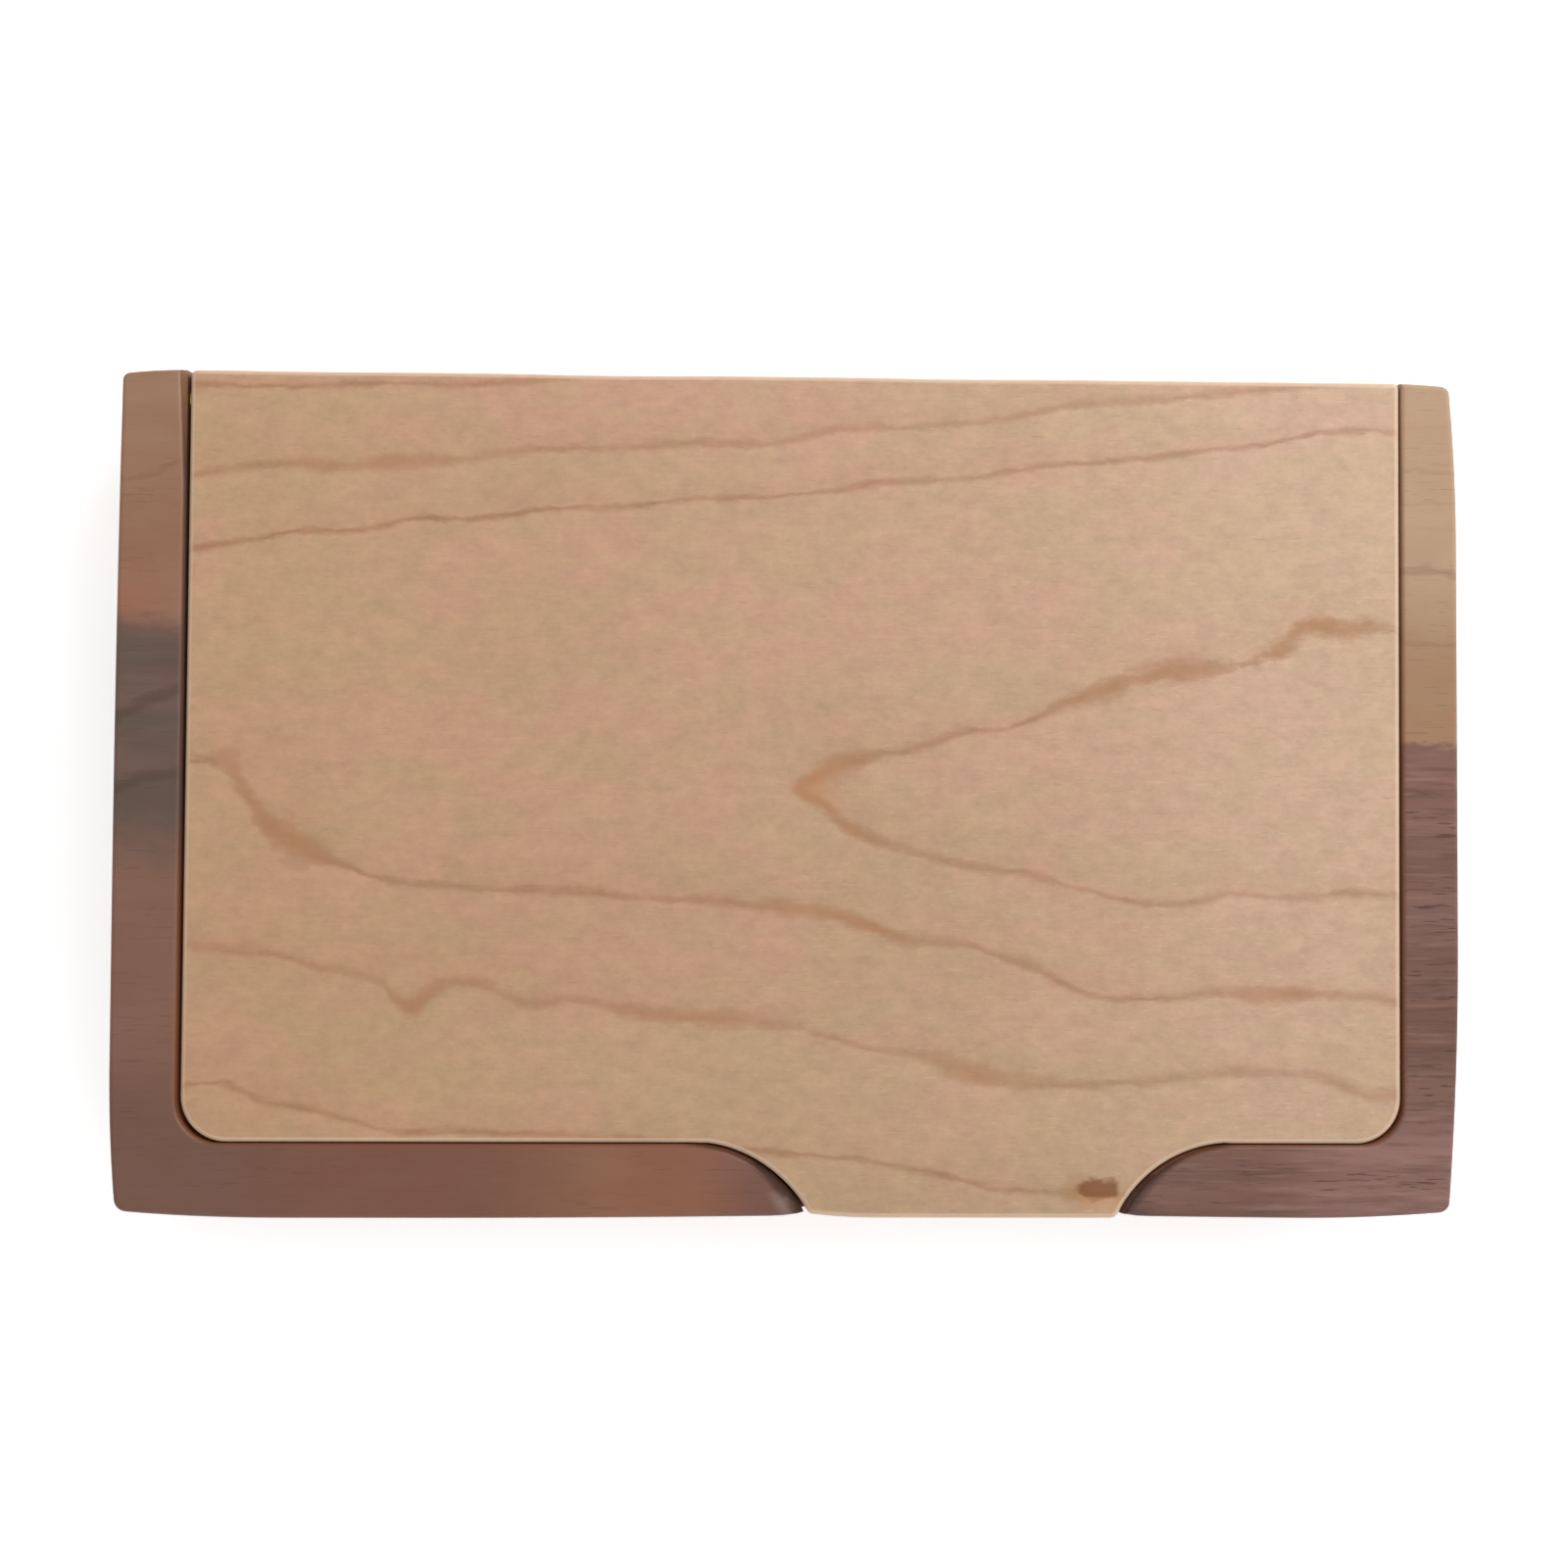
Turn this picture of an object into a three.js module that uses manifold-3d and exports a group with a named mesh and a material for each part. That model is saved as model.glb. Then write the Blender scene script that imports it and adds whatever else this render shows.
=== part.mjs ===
// A pocket case for business cards, in two woods. The walnut body is milled from one block: a rebate
// for the lid, a pocket for the cards inside it, and a shallow hollow for the thumb in the front face.
// The maple lid swings on two brass pins driven in through the ends of the case. Its tongue reaches
// forward over the front rail and the hollow, and two pairs of magnets under it hold the lid shut.
//
// Sizes are in millimetres. X runs along the case, +Y is the hinge side and +Z is up. The origin is
// the centre of the underside.

import * as THREE from "three";
import { mergeVertices } from "three/addons/utils/BufferGeometryUtils.js";
import Module from "manifold-3d";

// Case body
const CASE_LENGTH = 103;
const CASE_WIDTH = 64.5;
const CASE_HEIGHT = 15;
const EDGE_ROUND = 0.5; // round-over on the outer edges, top and bottom
const LEFT_RAIL = 4.95;
const RIGHT_RAIL = 4.4;
const FRONT_RAIL = 5.65;
const REAR_WALL = 2.6;
const FLOOR = 2.8;
const RECESS_CORNER = 3.2; // plan radius of the lid's rebate
const RECESS_EASE = 0.15; // chamfer along the rebate's top edge

// Plan corners of the body, anticlockwise. They are sanded by hand, so no two are alike: each has its
// own tip radius, and the side before it and the side after it start to fall away at their own reach
// from it and have fallen in by their own depth there.
const CORNERS = [
  { x: 1, y: -1, tip: 0.9, before: { reach: 12, fall: 0.45 }, after: { reach: 15, fall: 0.8 } },
  { x: 1, y: 1, tip: 0.7, before: { reach: 12, fall: 0.5 }, after: { reach: 5, fall: 0.2 } },
  { x: -1, y: 1, tip: 0.6, before: { reach: 4.5, fall: 0.25 }, after: { reach: 8, fall: 0.12 } },
  { x: -1, y: -1, tip: 1, before: { reach: 10, fall: 0.5 }, after: { reach: 12, fall: 0.6 } },
];

// Card pocket, inside the rebate
const SIDE_LEDGE = 1.3;
const FRONT_LEDGE = 1.5;
const POCKET_CORNER = 1.5; // radius the cutter leaves

// Lid
const LID_THICKNESS = 4;
const LID_GAP = 0.4; // gap round the lid, and over the rear wall
const SEAT_GAP = 0.2; // between the lid and the ledges below it
const LID_EDGE_ROUND = 0.35;
const LID_CORNER = 3.5;

// Tongue of the lid, and the two convex horns of the front rail on each side of it
const TAB_CENTRE = 13.25; // right of the case's centre
const TAB_SPREAD = 20.75; // from the tongue's centre to the centre of each horn's arc
const HORN_RADIUS = 9.8;
const TAB_SETBACK = 0.1; // tongue behind the front face
// How far the rounded front corners of the tongue run along the front and up the side
const TAB_EASE = { left: { run: 5, rise: 0.85 }, right: { run: 0.8, rise: 0.3 } };
// Facet sanded on the top of each horn where it faces the tongue, widest at the horn's tip
const FACET_DEPTH = 0.9;
const FACET_RUN = { left: 0.9, right: 0.35 };

// Thumb hollow in the front face, over the full height and deepest at the tongue's centre. On each side
// it runs out over its own length, and its curve stays level for these shares of that length.
const HOLLOW_DEPTH = 2.2;
const HOLLOW_LEFT = { run: 27, levelOutside: 0.8, levelInside: 0.25 };
const HOLLOW_RIGHT = { run: 18, levelOutside: 0.55, levelInside: 0.5 };

// Hinge pins: tight in the rails, running in the lid
const PIN_RADIUS = 0.8;
const PIN_LENGTH = 11.5;
const PIN_SINK = 0.6; // outer end below the end of the case
const PIN_TIGHT = 0.05;
const PIN_RUNNING = 0.08;
const PIN_END_SPACE = 0.4; // hole past the inner end
const PIN_CHAMFER = 0.15;

// Magnets: one pair near each end of the tongue
const MAGNET_RADIUS = 2;
const MAGNET_THICKNESS = 2;
const MAGNET_INSET = 1.95; // centre inside the tongue's side, where the horns' arcs come nearest to it
const MAGNET_SETBACK = 4; // from the front face
const MAGNET_GLUE = 0.1; // glue line round and behind a magnet
const MAGNET_SINK = 0.05; // below the wood
const MAGNET_CHAMFER = 0.15;

// Fineness of the curves
const CURVE_STEPS = 10;
const ROUND_STEPS = 4;
const BORE_SIDES = 32;
const DISC_SIDES = 40;
const OVERCUT = 1; // how far a cutter runs past the face that it breaks

// Places worked out from those sizes
const LEFT_END = -CASE_LENGTH / 2;
const RIGHT_END = CASE_LENGTH / 2;
const FRONT_FACE = -CASE_WIDTH / 2;
const REAR_FACE = CASE_WIDTH / 2;
const LID_BOTTOM = CASE_HEIGHT - LID_THICKNESS;
const SEAT = LID_BOTTOM - SEAT_GAP;
const REAR_WALL_TOP = LID_BOTTOM - LID_GAP;
// Half a lid's thickness from the rear face and from the top, so the end of the lid turns over the wall
const HINGE_Y = REAR_FACE - LID_THICKNESS / 2;
const HINGE_Z = CASE_HEIGHT - LID_THICKNESS / 2;
const MAGNET_SPREAD = TAB_SPREAD - HORN_RADIUS - MAGNET_INSET; // from the tongue's centre
const MAGNET_Y = FRONT_FACE + MAGNET_SETBACK;

const WALNUT = new THREE.MeshStandardMaterial({ color: 0x7b5b4d, roughness: 0.55, metalness: 0 });
const MAPLE = new THREE.MeshStandardMaterial({ color: 0xc39f7c, roughness: 0.5, metalness: 0 });
const BRASS = new THREE.MeshStandardMaterial({ color: 0xb5933f, roughness: 0.3, metalness: 1 });
const NICKEL = new THREE.MeshStandardMaterial({ color: 0xb9bcc0, roughness: 0.25, metalness: 1 });

const wasm = await Module();
wasm.setup();

// A closed geometry as a solid that can be joined and cut.
function solidOf(geometry) {
  const bare = new THREE.BufferGeometry().setAttribute("position", geometry.getAttribute("position"));
  bare.setIndex(geometry.index);
  const merged = mergeVertices(bare, 1e-4);
  return new wasm.Manifold(
    new wasm.Mesh({
      numProp: 3,
      vertProperties: new Float32Array(merged.attributes.position.array),
      triVerts: new Uint32Array(merged.index.array),
    }),
  );
}

// The geometry of a solid.
function geometryOf(solid) {
  const mesh = solid.getMesh();
  const geometry = new THREE.BufferGeometry();
  geometry.setAttribute("position", new THREE.BufferAttribute(mesh.vertProperties, 3));
  geometry.setIndex(new THREE.BufferAttribute(mesh.triVerts, 1));
  geometry.computeVertexNormals();
  return geometry;
}

// Closed solid through flat outlines of equal point counts, listed from the lowest to the highest.
function loft(levels) {
  const rings = levels.map(({ z, shape }) => shape.getPoints(CURVE_STEPS).map((p) => [p.x, p.y, z]));
  const count = rings[0].length - 1; // the last point repeats the first
  const contour = (ring) => ring.slice(0, count).map(([x, y]) => new THREE.Vector2(x, y));
  const positions = rings.flatMap((ring) => ring.slice(0, count)).flat();
  const index = [];
  for (let level = 0; level < rings.length - 1; level++) {
    for (let i = 0; i < count; i++) {
      const low = level * count + i;
      const lowNext = level * count + ((i + 1) % count);
      index.push(low, lowNext, lowNext + count, low, lowNext + count, low + count);
    }
  }
  const top = (rings.length - 1) * count;
  for (const [a, b, c] of THREE.ShapeUtils.triangulateShape(contour(rings[0]), [])) index.push(c, b, a);
  for (const [a, b, c] of THREE.ShapeUtils.triangulateShape(contour(rings.at(-1)), [])) {
    index.push(top + a, top + b, top + c);
  }
  const geometry = new THREE.BufferGeometry();
  geometry.setAttribute("position", new THREE.Float32BufferAttribute(positions, 3));
  geometry.setIndex(index);
  return solidOf(geometry);
}

// Loft of an outline whose top and bottom edges are rounded over. outline(inset) gives its shape.
function roundedBlock(outline, bottom, top, radius) {
  const steps = Array.from({ length: ROUND_STEPS + 1 }, (_, i) => ((i / ROUND_STEPS) * Math.PI) / 2);
  const below = steps.map((a) => ({ inset: radius * (1 - Math.sin(a)), rise: radius * (1 - Math.cos(a)) }));
  const low = below.map(({ inset, rise }) => ({ z: bottom + rise, shape: outline(inset) }));
  const high = below.toReversed().map(({ inset, rise }) => ({ z: top - rise, shape: outline(inset) }));
  return loft([...low, ...high]);
}

// A straight cylinder along X, from one end to the other.
function cylinderAlongX(radius, from, to, y, z) {
  const geometry = new THREE.CylinderGeometry(radius, radius, to - from, BORE_SIDES);
  geometry.rotateZ(-Math.PI / 2).translate((from + to) / 2, y, z);
  return solidOf(geometry);
}

// A rod or disc with chamfered rims, standing on the origin along Y.
function chamferedRod(radius, length, chamfer, sides) {
  const profile = [
    [0, 0],
    [radius - chamfer, 0],
    [radius, chamfer],
    [radius, length - chamfer],
    [radius - chamfer, length],
    [0, length],
  ];
  return new THREE.LatheGeometry(
    profile.map(([x, y]) => new THREE.Vector2(x, y)),
    sides,
  );
}

// Plan of the body: a rectangle whose sides fall away, each on a parabola, towards the corners, with
// the thumb hollow in its front side.
function caseOutline(inset) {
  const halfLength = CASE_LENGTH / 2 - inset;
  const halfWidth = CASE_WIDTH / 2 - inset;
  const shape = new THREE.Shape();
  addHollow(shape, -halfWidth);
  for (const { x, y, tip, before, after } of CORNERS) {
    const corner = new THREE.Vector2(x * halfLength, y * halfWidth);
    // Going anticlockwise, the way along the side before the corner and the way along the side after it.
    const come = new THREE.Vector2(x === -y ? x : 0, x === y ? y : 0);
    const go = new THREE.Vector2(-come.y, come.x);
    const fallen = (side, far) => side.fall * (1 - far / side.reach) ** 2;
    const onSideBefore = (far, depth) => corner.clone().addScaledVector(come, -far).addScaledVector(go, depth);
    const onSideAfter = (far, depth) => corner.clone().addScaledVector(go, far).addScaledVector(come, -depth);
    const start = onSideBefore(before.reach, 0);
    const end = onSideAfter(after.reach, 0);
    const tipStart = onSideBefore(tip, fallen(before, tip));
    const tipEnd = onSideAfter(tip, fallen(after, tip));
    const bendBefore = onSideBefore((before.reach + tip) / 2, 0);
    const bendTip = onSideBefore(after.fall, before.fall);
    const bendAfter = onSideAfter((after.reach + tip) / 2, 0);
    shape.lineTo(start.x, start.y);
    shape.quadraticCurveTo(bendBefore.x, bendBefore.y, tipStart.x, tipStart.y);
    shape.quadraticCurveTo(bendTip.x, bendTip.y, tipEnd.x, tipEnd.y);
    shape.quadraticCurveTo(bendAfter.x, bendAfter.y, end.x, end.y);
  }
  shape.closePath();
  return shape;
}

// Starts an outline with the hollow in its front side, from left to right.
function addHollow(shape, front) {
  const { run: leftRun, levelOutside: leftOutside, levelInside: leftInside } = HOLLOW_LEFT;
  const { run: rightRun, levelOutside: rightOutside, levelInside: rightInside } = HOLLOW_RIGHT;
  const left = TAB_CENTRE - leftRun;
  const right = TAB_CENTRE + rightRun;
  const deep = front + HOLLOW_DEPTH;
  shape.moveTo(left, front);
  shape.bezierCurveTo(
    left + leftOutside * leftRun,
    front,
    TAB_CENTRE - leftInside * leftRun,
    deep,
    TAB_CENTRE,
    deep,
  );
  shape.bezierCurveTo(
    TAB_CENTRE + rightInside * rightRun,
    deep,
    right - rightOutside * rightRun,
    front,
    right,
    front,
  );
}

// Plan with a tongue, which the lid and its rebate share. grow widens it from the lid's own size. The
// lid's tongue has rounded front corners, by ease. A rebate runs past the front and rear faces instead,
// and its horns' arcs can lean away from the tongue.
function tonguePlan({ grow, corner, ease, runPast = 0, lean = { left: 0, right: 0 } }) {
  const left = LEFT_END + LEFT_RAIL + LID_GAP - grow;
  const right = RIGHT_END - RIGHT_RAIL - LID_GAP + grow;
  const shoulder = FRONT_FACE + FRONT_RAIL + LID_GAP - grow;
  const front = runPast ? FRONT_FACE - runPast : FRONT_FACE + TAB_SETBACK - grow;
  const rear = REAR_FACE + (runPast || grow);
  const horn = HORN_RADIUS + LID_GAP - grow;
  const hornY = shoulder - horn;
  const leftX = TAB_CENTRE - TAB_SPREAD - lean.left;
  const rightX = TAB_CENTRE + TAB_SPREAD + lean.right;
  const reach = Math.sqrt(horn ** 2 - (front - hornY) ** 2);
  const angleAt = (y) => Math.asin((y - hornY) / horn);
  const leftStop = angleAt(front + (ease ? ease.left.rise : 0));
  const rightStop = Math.PI - angleAt(front + (ease ? ease.right.rise : 0));

  const shape = new THREE.Shape();
  shape.moveTo(right, rear);
  shape.lineTo(left, rear);
  shape.lineTo(left, shoulder + corner);
  shape.absarc(left + corner, shoulder + corner, corner, Math.PI, 1.5 * Math.PI, false);
  shape.lineTo(leftX, shoulder);
  shape.absarc(leftX, hornY, horn, Math.PI / 2, leftStop, true);
  if (ease) {
    const top = { x: rightX + horn * Math.cos(rightStop), y: front + ease.right.rise };
    shape.quadraticCurveTo(leftX + reach, front, leftX + reach + ease.left.run, front);
    shape.lineTo(rightX - reach - ease.right.run, front);
    shape.quadraticCurveTo(rightX - reach, front, top.x, top.y);
  } else {
    shape.lineTo(rightX - reach, front);
  }
  shape.absarc(rightX, hornY, horn, rightStop, Math.PI / 2, true);
  shape.lineTo(right - corner, shoulder);
  shape.absarc(right - corner, shoulder + corner, corner, 1.5 * Math.PI, 2 * Math.PI, false);
  shape.lineTo(right, rear);
  return shape;
}

function lidPlan(inset) {
  return tonguePlan({ grow: -inset, corner: LID_CORNER - inset, ease: TAB_EASE });
}

// Plan of the rebate, flared and with its horns leaning by a share of their facets' run.
function rebatePlan(flare, share) {
  return tonguePlan({
    grow: LID_GAP + flare,
    corner: RECESS_CORNER + flare,
    runPast: OVERCUT,
    lean: { left: FACET_RUN.left * share, right: FACET_RUN.right * share },
  });
}

// Plan of the card pocket.
function pocketOutline() {
  const left = LEFT_END + LEFT_RAIL + SIDE_LEDGE;
  const right = RIGHT_END - RIGHT_RAIL - SIDE_LEDGE;
  const front = FRONT_FACE + FRONT_RAIL + FRONT_LEDGE;
  const rear = REAR_FACE - REAR_WALL;
  const r = POCKET_CORNER;
  const shape = new THREE.Shape();
  shape.moveTo(left + r, front);
  shape.lineTo(right - r, front);
  shape.absarc(right - r, front + r, r, 1.5 * Math.PI, 2 * Math.PI, false);
  shape.lineTo(right, rear - r);
  shape.absarc(right - r, rear - r, r, 0, Math.PI / 2, false);
  shape.lineTo(left + r, rear);
  shape.absarc(left + r, rear - r, r, Math.PI / 2, Math.PI, false);
  shape.lineTo(left, front + r);
  shape.absarc(left + r, front + r, r, Math.PI, 1.5 * Math.PI, false);
  return shape;
}

// Rebate for the lid, with the facets on its horns and a small chamfer all along its top edge.
function rebateCutter() {
  return loft([
    { z: SEAT, shape: rebatePlan(0, 0) },
    { z: CASE_HEIGHT - FACET_DEPTH, shape: rebatePlan(0, 0) },
    { z: CASE_HEIGHT - RECESS_EASE, shape: rebatePlan(0, 1 - RECESS_EASE / FACET_DEPTH) },
    { z: CASE_HEIGHT, shape: rebatePlan(RECESS_EASE, 1) },
    { z: CASE_HEIGHT + OVERCUT, shape: rebatePlan(RECESS_EASE, 1) },
  ]);
}

function pocketCutter() {
  return loft([
    { z: FLOOR, shape: pocketOutline() },
    { z: CASE_HEIGHT, shape: pocketOutline() },
  ]);
}

// Lowers the rear wall, so that the end of the lid clears it as it turns.
function rearWallCutter() {
  const left = LEFT_END + LEFT_RAIL;
  const right = RIGHT_END - RIGHT_RAIL;
  const front = REAR_FACE - REAR_WALL;
  const rear = REAR_FACE + OVERCUT;
  const height = CASE_HEIGHT - REAR_WALL_TOP;
  const box = new THREE.BoxGeometry(right - left, rear - front, height);
  box.translate((left + right) / 2, (front + rear) / 2, REAR_WALL_TOP + height / 2);
  return solidOf(box);
}

// The lower rear edge of the lid is cut round, about the hinge.
function lidEndCutter() {
  const radius = LID_THICKNESS / 2;
  const shape = new THREE.Shape();
  shape.moveTo(HINGE_Y, LID_BOTTOM - OVERCUT);
  shape.lineTo(REAR_FACE + OVERCUT, LID_BOTTOM - OVERCUT);
  shape.lineTo(REAR_FACE + OVERCUT, HINGE_Z);
  shape.lineTo(HINGE_Y + radius, HINGE_Z);
  shape.absarc(HINGE_Y, HINGE_Z, radius, 0, -Math.PI / 2, true);
  const options = { depth: CASE_LENGTH, bevelEnabled: false, curveSegments: CURVE_STEPS };
  const prism = new THREE.ExtrudeGeometry(shape, options);
  const [x, y, z] = [new THREE.Vector3(1, 0, 0), new THREE.Vector3(0, 1, 0), new THREE.Vector3(0, 0, 1)];
  prism.applyMatrix4(new THREE.Matrix4().makeBasis(y, z, x));
  prism.translate(LEFT_END, 0, 0);
  return solidOf(prism);
}

// Blind socket for a magnet, from its floor to a little past the face of the wood.
function magnetSocket(side, low, high) {
  const radius = MAGNET_RADIUS + MAGNET_GLUE;
  const hole = new THREE.CylinderGeometry(radius, radius, high - low, DISC_SIDES);
  hole.rotateX(Math.PI / 2).translate(TAB_CENTRE + side * MAGNET_SPREAD, MAGNET_Y, (low + high) / 2);
  return solidOf(hole);
}

function makeBody() {
  const deep = MAGNET_THICKNESS + MAGNET_SINK + MAGNET_GLUE;
  let body = roundedBlock(caseOutline, 0, CASE_HEIGHT, EDGE_ROUND)
    .subtract(rebateCutter())
    .subtract(pocketCutter())
    .subtract(rearWallCutter());
  const hole = PIN_RADIUS + PIN_TIGHT;
  const leftWall = LEFT_END + LEFT_RAIL + OVERCUT;
  const rightWall = RIGHT_END - RIGHT_RAIL - OVERCUT;
  body = body.subtract(cylinderAlongX(hole, LEFT_END - OVERCUT, leftWall, HINGE_Y, HINGE_Z));
  body = body.subtract(cylinderAlongX(hole, rightWall, RIGHT_END + OVERCUT, HINGE_Y, HINGE_Z));
  for (const side of [-1, 1]) body = body.subtract(magnetSocket(side, SEAT - deep, SEAT + OVERCUT));
  return body;
}

function makeLid() {
  const deep = MAGNET_THICKNESS + MAGNET_SINK + MAGNET_GLUE;
  let lid = roundedBlock(lidPlan, LID_BOTTOM, CASE_HEIGHT, LID_EDGE_ROUND);
  lid = lid.subtract(lidEndCutter());
  const bore = PIN_RADIUS + PIN_RUNNING;
  const innerEnd = CASE_LENGTH / 2 - PIN_SINK - PIN_LENGTH - PIN_END_SPACE;
  lid = lid.subtract(cylinderAlongX(bore, LEFT_END, -innerEnd, HINGE_Y, HINGE_Z));
  lid = lid.subtract(cylinderAlongX(bore, innerEnd, RIGHT_END, HINGE_Y, HINGE_Z));
  for (const side of [-1, 1]) {
    lid = lid.subtract(magnetSocket(side, LID_BOTTOM - OVERCUT, LID_BOTTOM + deep));
  }
  return lid;
}

function namedMesh(name, geometry, material) {
  const mesh = new THREE.Mesh(geometry, material);
  mesh.name = name;
  return mesh;
}

// A pin lies along X with its outer end PIN_SINK inside the end of the case.
function hingePin(name, side) {
  const pin = namedMesh(name, chamferedRod(PIN_RADIUS, PIN_LENGTH, PIN_CHAMFER, BORE_SIDES), BRASS);
  pin.rotation.z = (side * Math.PI) / 2;
  pin.position.set(side * (CASE_LENGTH / 2 - PIN_SINK), HINGE_Y, HINGE_Z);
  return pin;
}

function magnet(name, side, bottom) {
  const rod = chamferedRod(MAGNET_RADIUS, MAGNET_THICKNESS, MAGNET_CHAMFER, DISC_SIDES);
  const disc = namedMesh(name, rod, NICKEL);
  disc.rotation.x = Math.PI / 2;
  disc.position.set(TAB_CENTRE + side * MAGNET_SPREAD, MAGNET_Y, bottom);
  return disc;
}

// The body with what is fixed in it.
const body = new THREE.Group();
body.add(
  namedMesh("case_body", geometryOf(makeBody()), WALNUT),
  hingePin("hinge_pin_left", -1),
  hingePin("hinge_pin_right", 1),
  magnet("body_magnet_left", -1, SEAT - MAGNET_SINK - MAGNET_THICKNESS),
  magnet("body_magnet_right", 1, SEAT - MAGNET_SINK - MAGNET_THICKNESS),
);

// The lid with its magnets, in a group whose origin is on the hinge, so that turning it opens the case.
const lidOnHinge = new THREE.Group();
lidOnHinge.position.set(0, HINGE_Y, HINGE_Z);
const lidParts = new THREE.Group();
lidParts.position.set(0, -HINGE_Y, -HINGE_Z);
lidParts.add(
  namedMesh("lid", geometryOf(makeLid()), MAPLE),
  magnet("lid_magnet_left", -1, LID_BOTTOM + MAGNET_SINK),
  magnet("lid_magnet_right", 1, LID_BOTTOM + MAGNET_SINK),
);
lidOnHinge.add(lidParts);

const cardCase = new THREE.Group();
cardCase.add(body, lidOnHinge);

export default cardCase;
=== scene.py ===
import math

import bmesh
import bpy
from mathutils import Matrix, Vector


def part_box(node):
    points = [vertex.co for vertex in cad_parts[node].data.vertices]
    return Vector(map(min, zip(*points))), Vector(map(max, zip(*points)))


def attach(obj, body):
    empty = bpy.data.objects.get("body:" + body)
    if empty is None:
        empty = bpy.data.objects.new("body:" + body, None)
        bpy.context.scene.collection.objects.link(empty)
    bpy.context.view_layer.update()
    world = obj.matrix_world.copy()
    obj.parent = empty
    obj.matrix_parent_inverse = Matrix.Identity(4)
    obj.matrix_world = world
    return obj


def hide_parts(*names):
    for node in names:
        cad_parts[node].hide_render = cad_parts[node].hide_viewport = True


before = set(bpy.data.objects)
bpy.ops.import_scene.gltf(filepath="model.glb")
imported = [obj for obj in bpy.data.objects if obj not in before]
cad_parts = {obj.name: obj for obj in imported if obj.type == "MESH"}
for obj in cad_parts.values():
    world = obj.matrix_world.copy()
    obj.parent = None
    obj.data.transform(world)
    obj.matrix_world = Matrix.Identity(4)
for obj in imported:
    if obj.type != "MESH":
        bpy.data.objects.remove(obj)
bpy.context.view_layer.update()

# The view. The case lies flat and is looked at from almost straight above, from a little nearer the
# viewer and a little to the left. A wide soft lamp stands on the right, so that side is the brighter.
MM = 0.001
CASE_LENGTH = 103 * MM
CASE_WIDTH = 64.5 * MM
CASE_HEIGHT = 15 * MM
CAMERA_PLACE = (-9.4 * MM, -9.1 * MM, 247.7 * MM)
CAMERA_TURN = (math.radians(2.43), math.radians(-2.19), math.radians(0.27))
ROOM_LIGHT = 0.46

scene = bpy.context.scene
scene.view_settings.view_transform = "Standard"
scene.view_settings.look = "None"

camera_data = bpy.data.cameras.new("camera")
camera_data.lens = 70
camera_data.sensor_width = 36
camera_data.clip_start = 0.01
camera = bpy.data.objects.new("camera", camera_data)
camera.location = CAMERA_PLACE
camera.rotation_euler = CAMERA_TURN
scene.collection.objects.link(camera)
scene.camera = camera


def add_lamp(name, place, aim, width, height, power, colour=(1, 1, 1)):
    """A soft panel lamp that faces the point it is aimed at."""
    data = bpy.data.lights.new(name, "AREA")
    data.shape = "RECTANGLE"
    data.size = width
    data.size_y = height
    data.energy = power
    data.color = colour
    lamp = bpy.data.objects.new(name, data)
    lamp.location = place
    lamp.rotation_euler = (Vector(aim) - Vector(place)).to_track_quat("-Z", "Y").to_euler()
    scene.collection.objects.link(lamp)


add_lamp("key_lamp", (0.32, 0.27, 0.36), (0, 0, 0), 0.45, 0.45, 2.45, (1.0, 0.985, 0.96))
add_lamp("front_lamp", (0.05, -0.55, 0.45), (0, 0, 0), 0.7, 0.25, 1.1)
add_lamp("fill_lamp", (-0.35, -0.10, 0.75), (0, 0, 0), 0.9, 0.9, 1.1)

world = bpy.data.worlds.new("room")
world.use_nodes = True
room_light = world.node_tree.nodes["Background"].inputs
room_light["Color"].default_value = (1, 1, 1, 1)
room_light["Strength"].default_value = ROOM_LIGHT
scene.world = world


def rest_on_nothing():
    """Leaves edit mode and lets go of everything."""
    if bpy.context.object and bpy.context.object.mode != "OBJECT":
        bpy.ops.object.mode_set(mode="OBJECT")
    bpy.ops.object.select_all(action="DESELECT")


def use(piece):
    """Makes one piece the only one in hand."""
    rest_on_nothing()
    piece.select_set(True)
    bpy.context.view_layer.objects.active = piece


rest_on_nothing()
bpy.ops.mesh.primitive_plane_add(size=6, location=(0, 0, 0))
floor = bpy.context.object
floor.name = "floor"
# The floor gives some light of its own, so that it comes out white under the soft lamps.
paper = bpy.data.materials.new("pale_paper")
paper.use_nodes = True
sheet = paper.node_tree.nodes["Principled BSDF"].inputs
sheet["Base Color"].default_value = (0.93, 0.93, 0.925, 1)
sheet["Roughness"].default_value = 0.9
sheet["Specular IOR Level"].default_value = 0.1
sheet["Emission Color"].default_value = (1, 1, 1, 1)
sheet["Emission Strength"].default_value = ROOM_LIGHT
floor.data.materials.append(paper)

# The case body. One block of walnut: a rebate for the lid and a pocket for the cards are milled into
# it from above, a hollow for the thumb is cut in its front face, and its outside is sanded by hand,
# so that the sides fall away a little towards each corner and no two corners are alike.
NEARLY = 1e-6
EDGE_ROUND = 0.4 * MM
LEFT_RAIL = 4.95 * MM
RIGHT_RAIL = 4.4 * MM
FRONT_RAIL = 5.65 * MM
REAR_WALL = 2.6 * MM
POCKET_FLOOR = 2.8 * MM
RECESS_CORNER = 3.2 * MM
LID_GAP = 0.4 * MM
SEAT = 10.8 * MM
REAR_WALL_TOP = 10.6 * MM
PAST_FACE = 1 * MM
SIDE_LEDGE = 1.3 * MM
FRONT_LEDGE = 1.5 * MM
POCKET_CORNER = 1.5 * MM
POCKET_EASE = 0.2 * MM
HORN_RADIUS = 9.8 * MM
TAB_CENTRE = 13.25 * MM
TAB_SPREAD = 20.75 * MM
HINGE_Y = 30.25 * MM
HINGE_Z = 13 * MM
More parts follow.
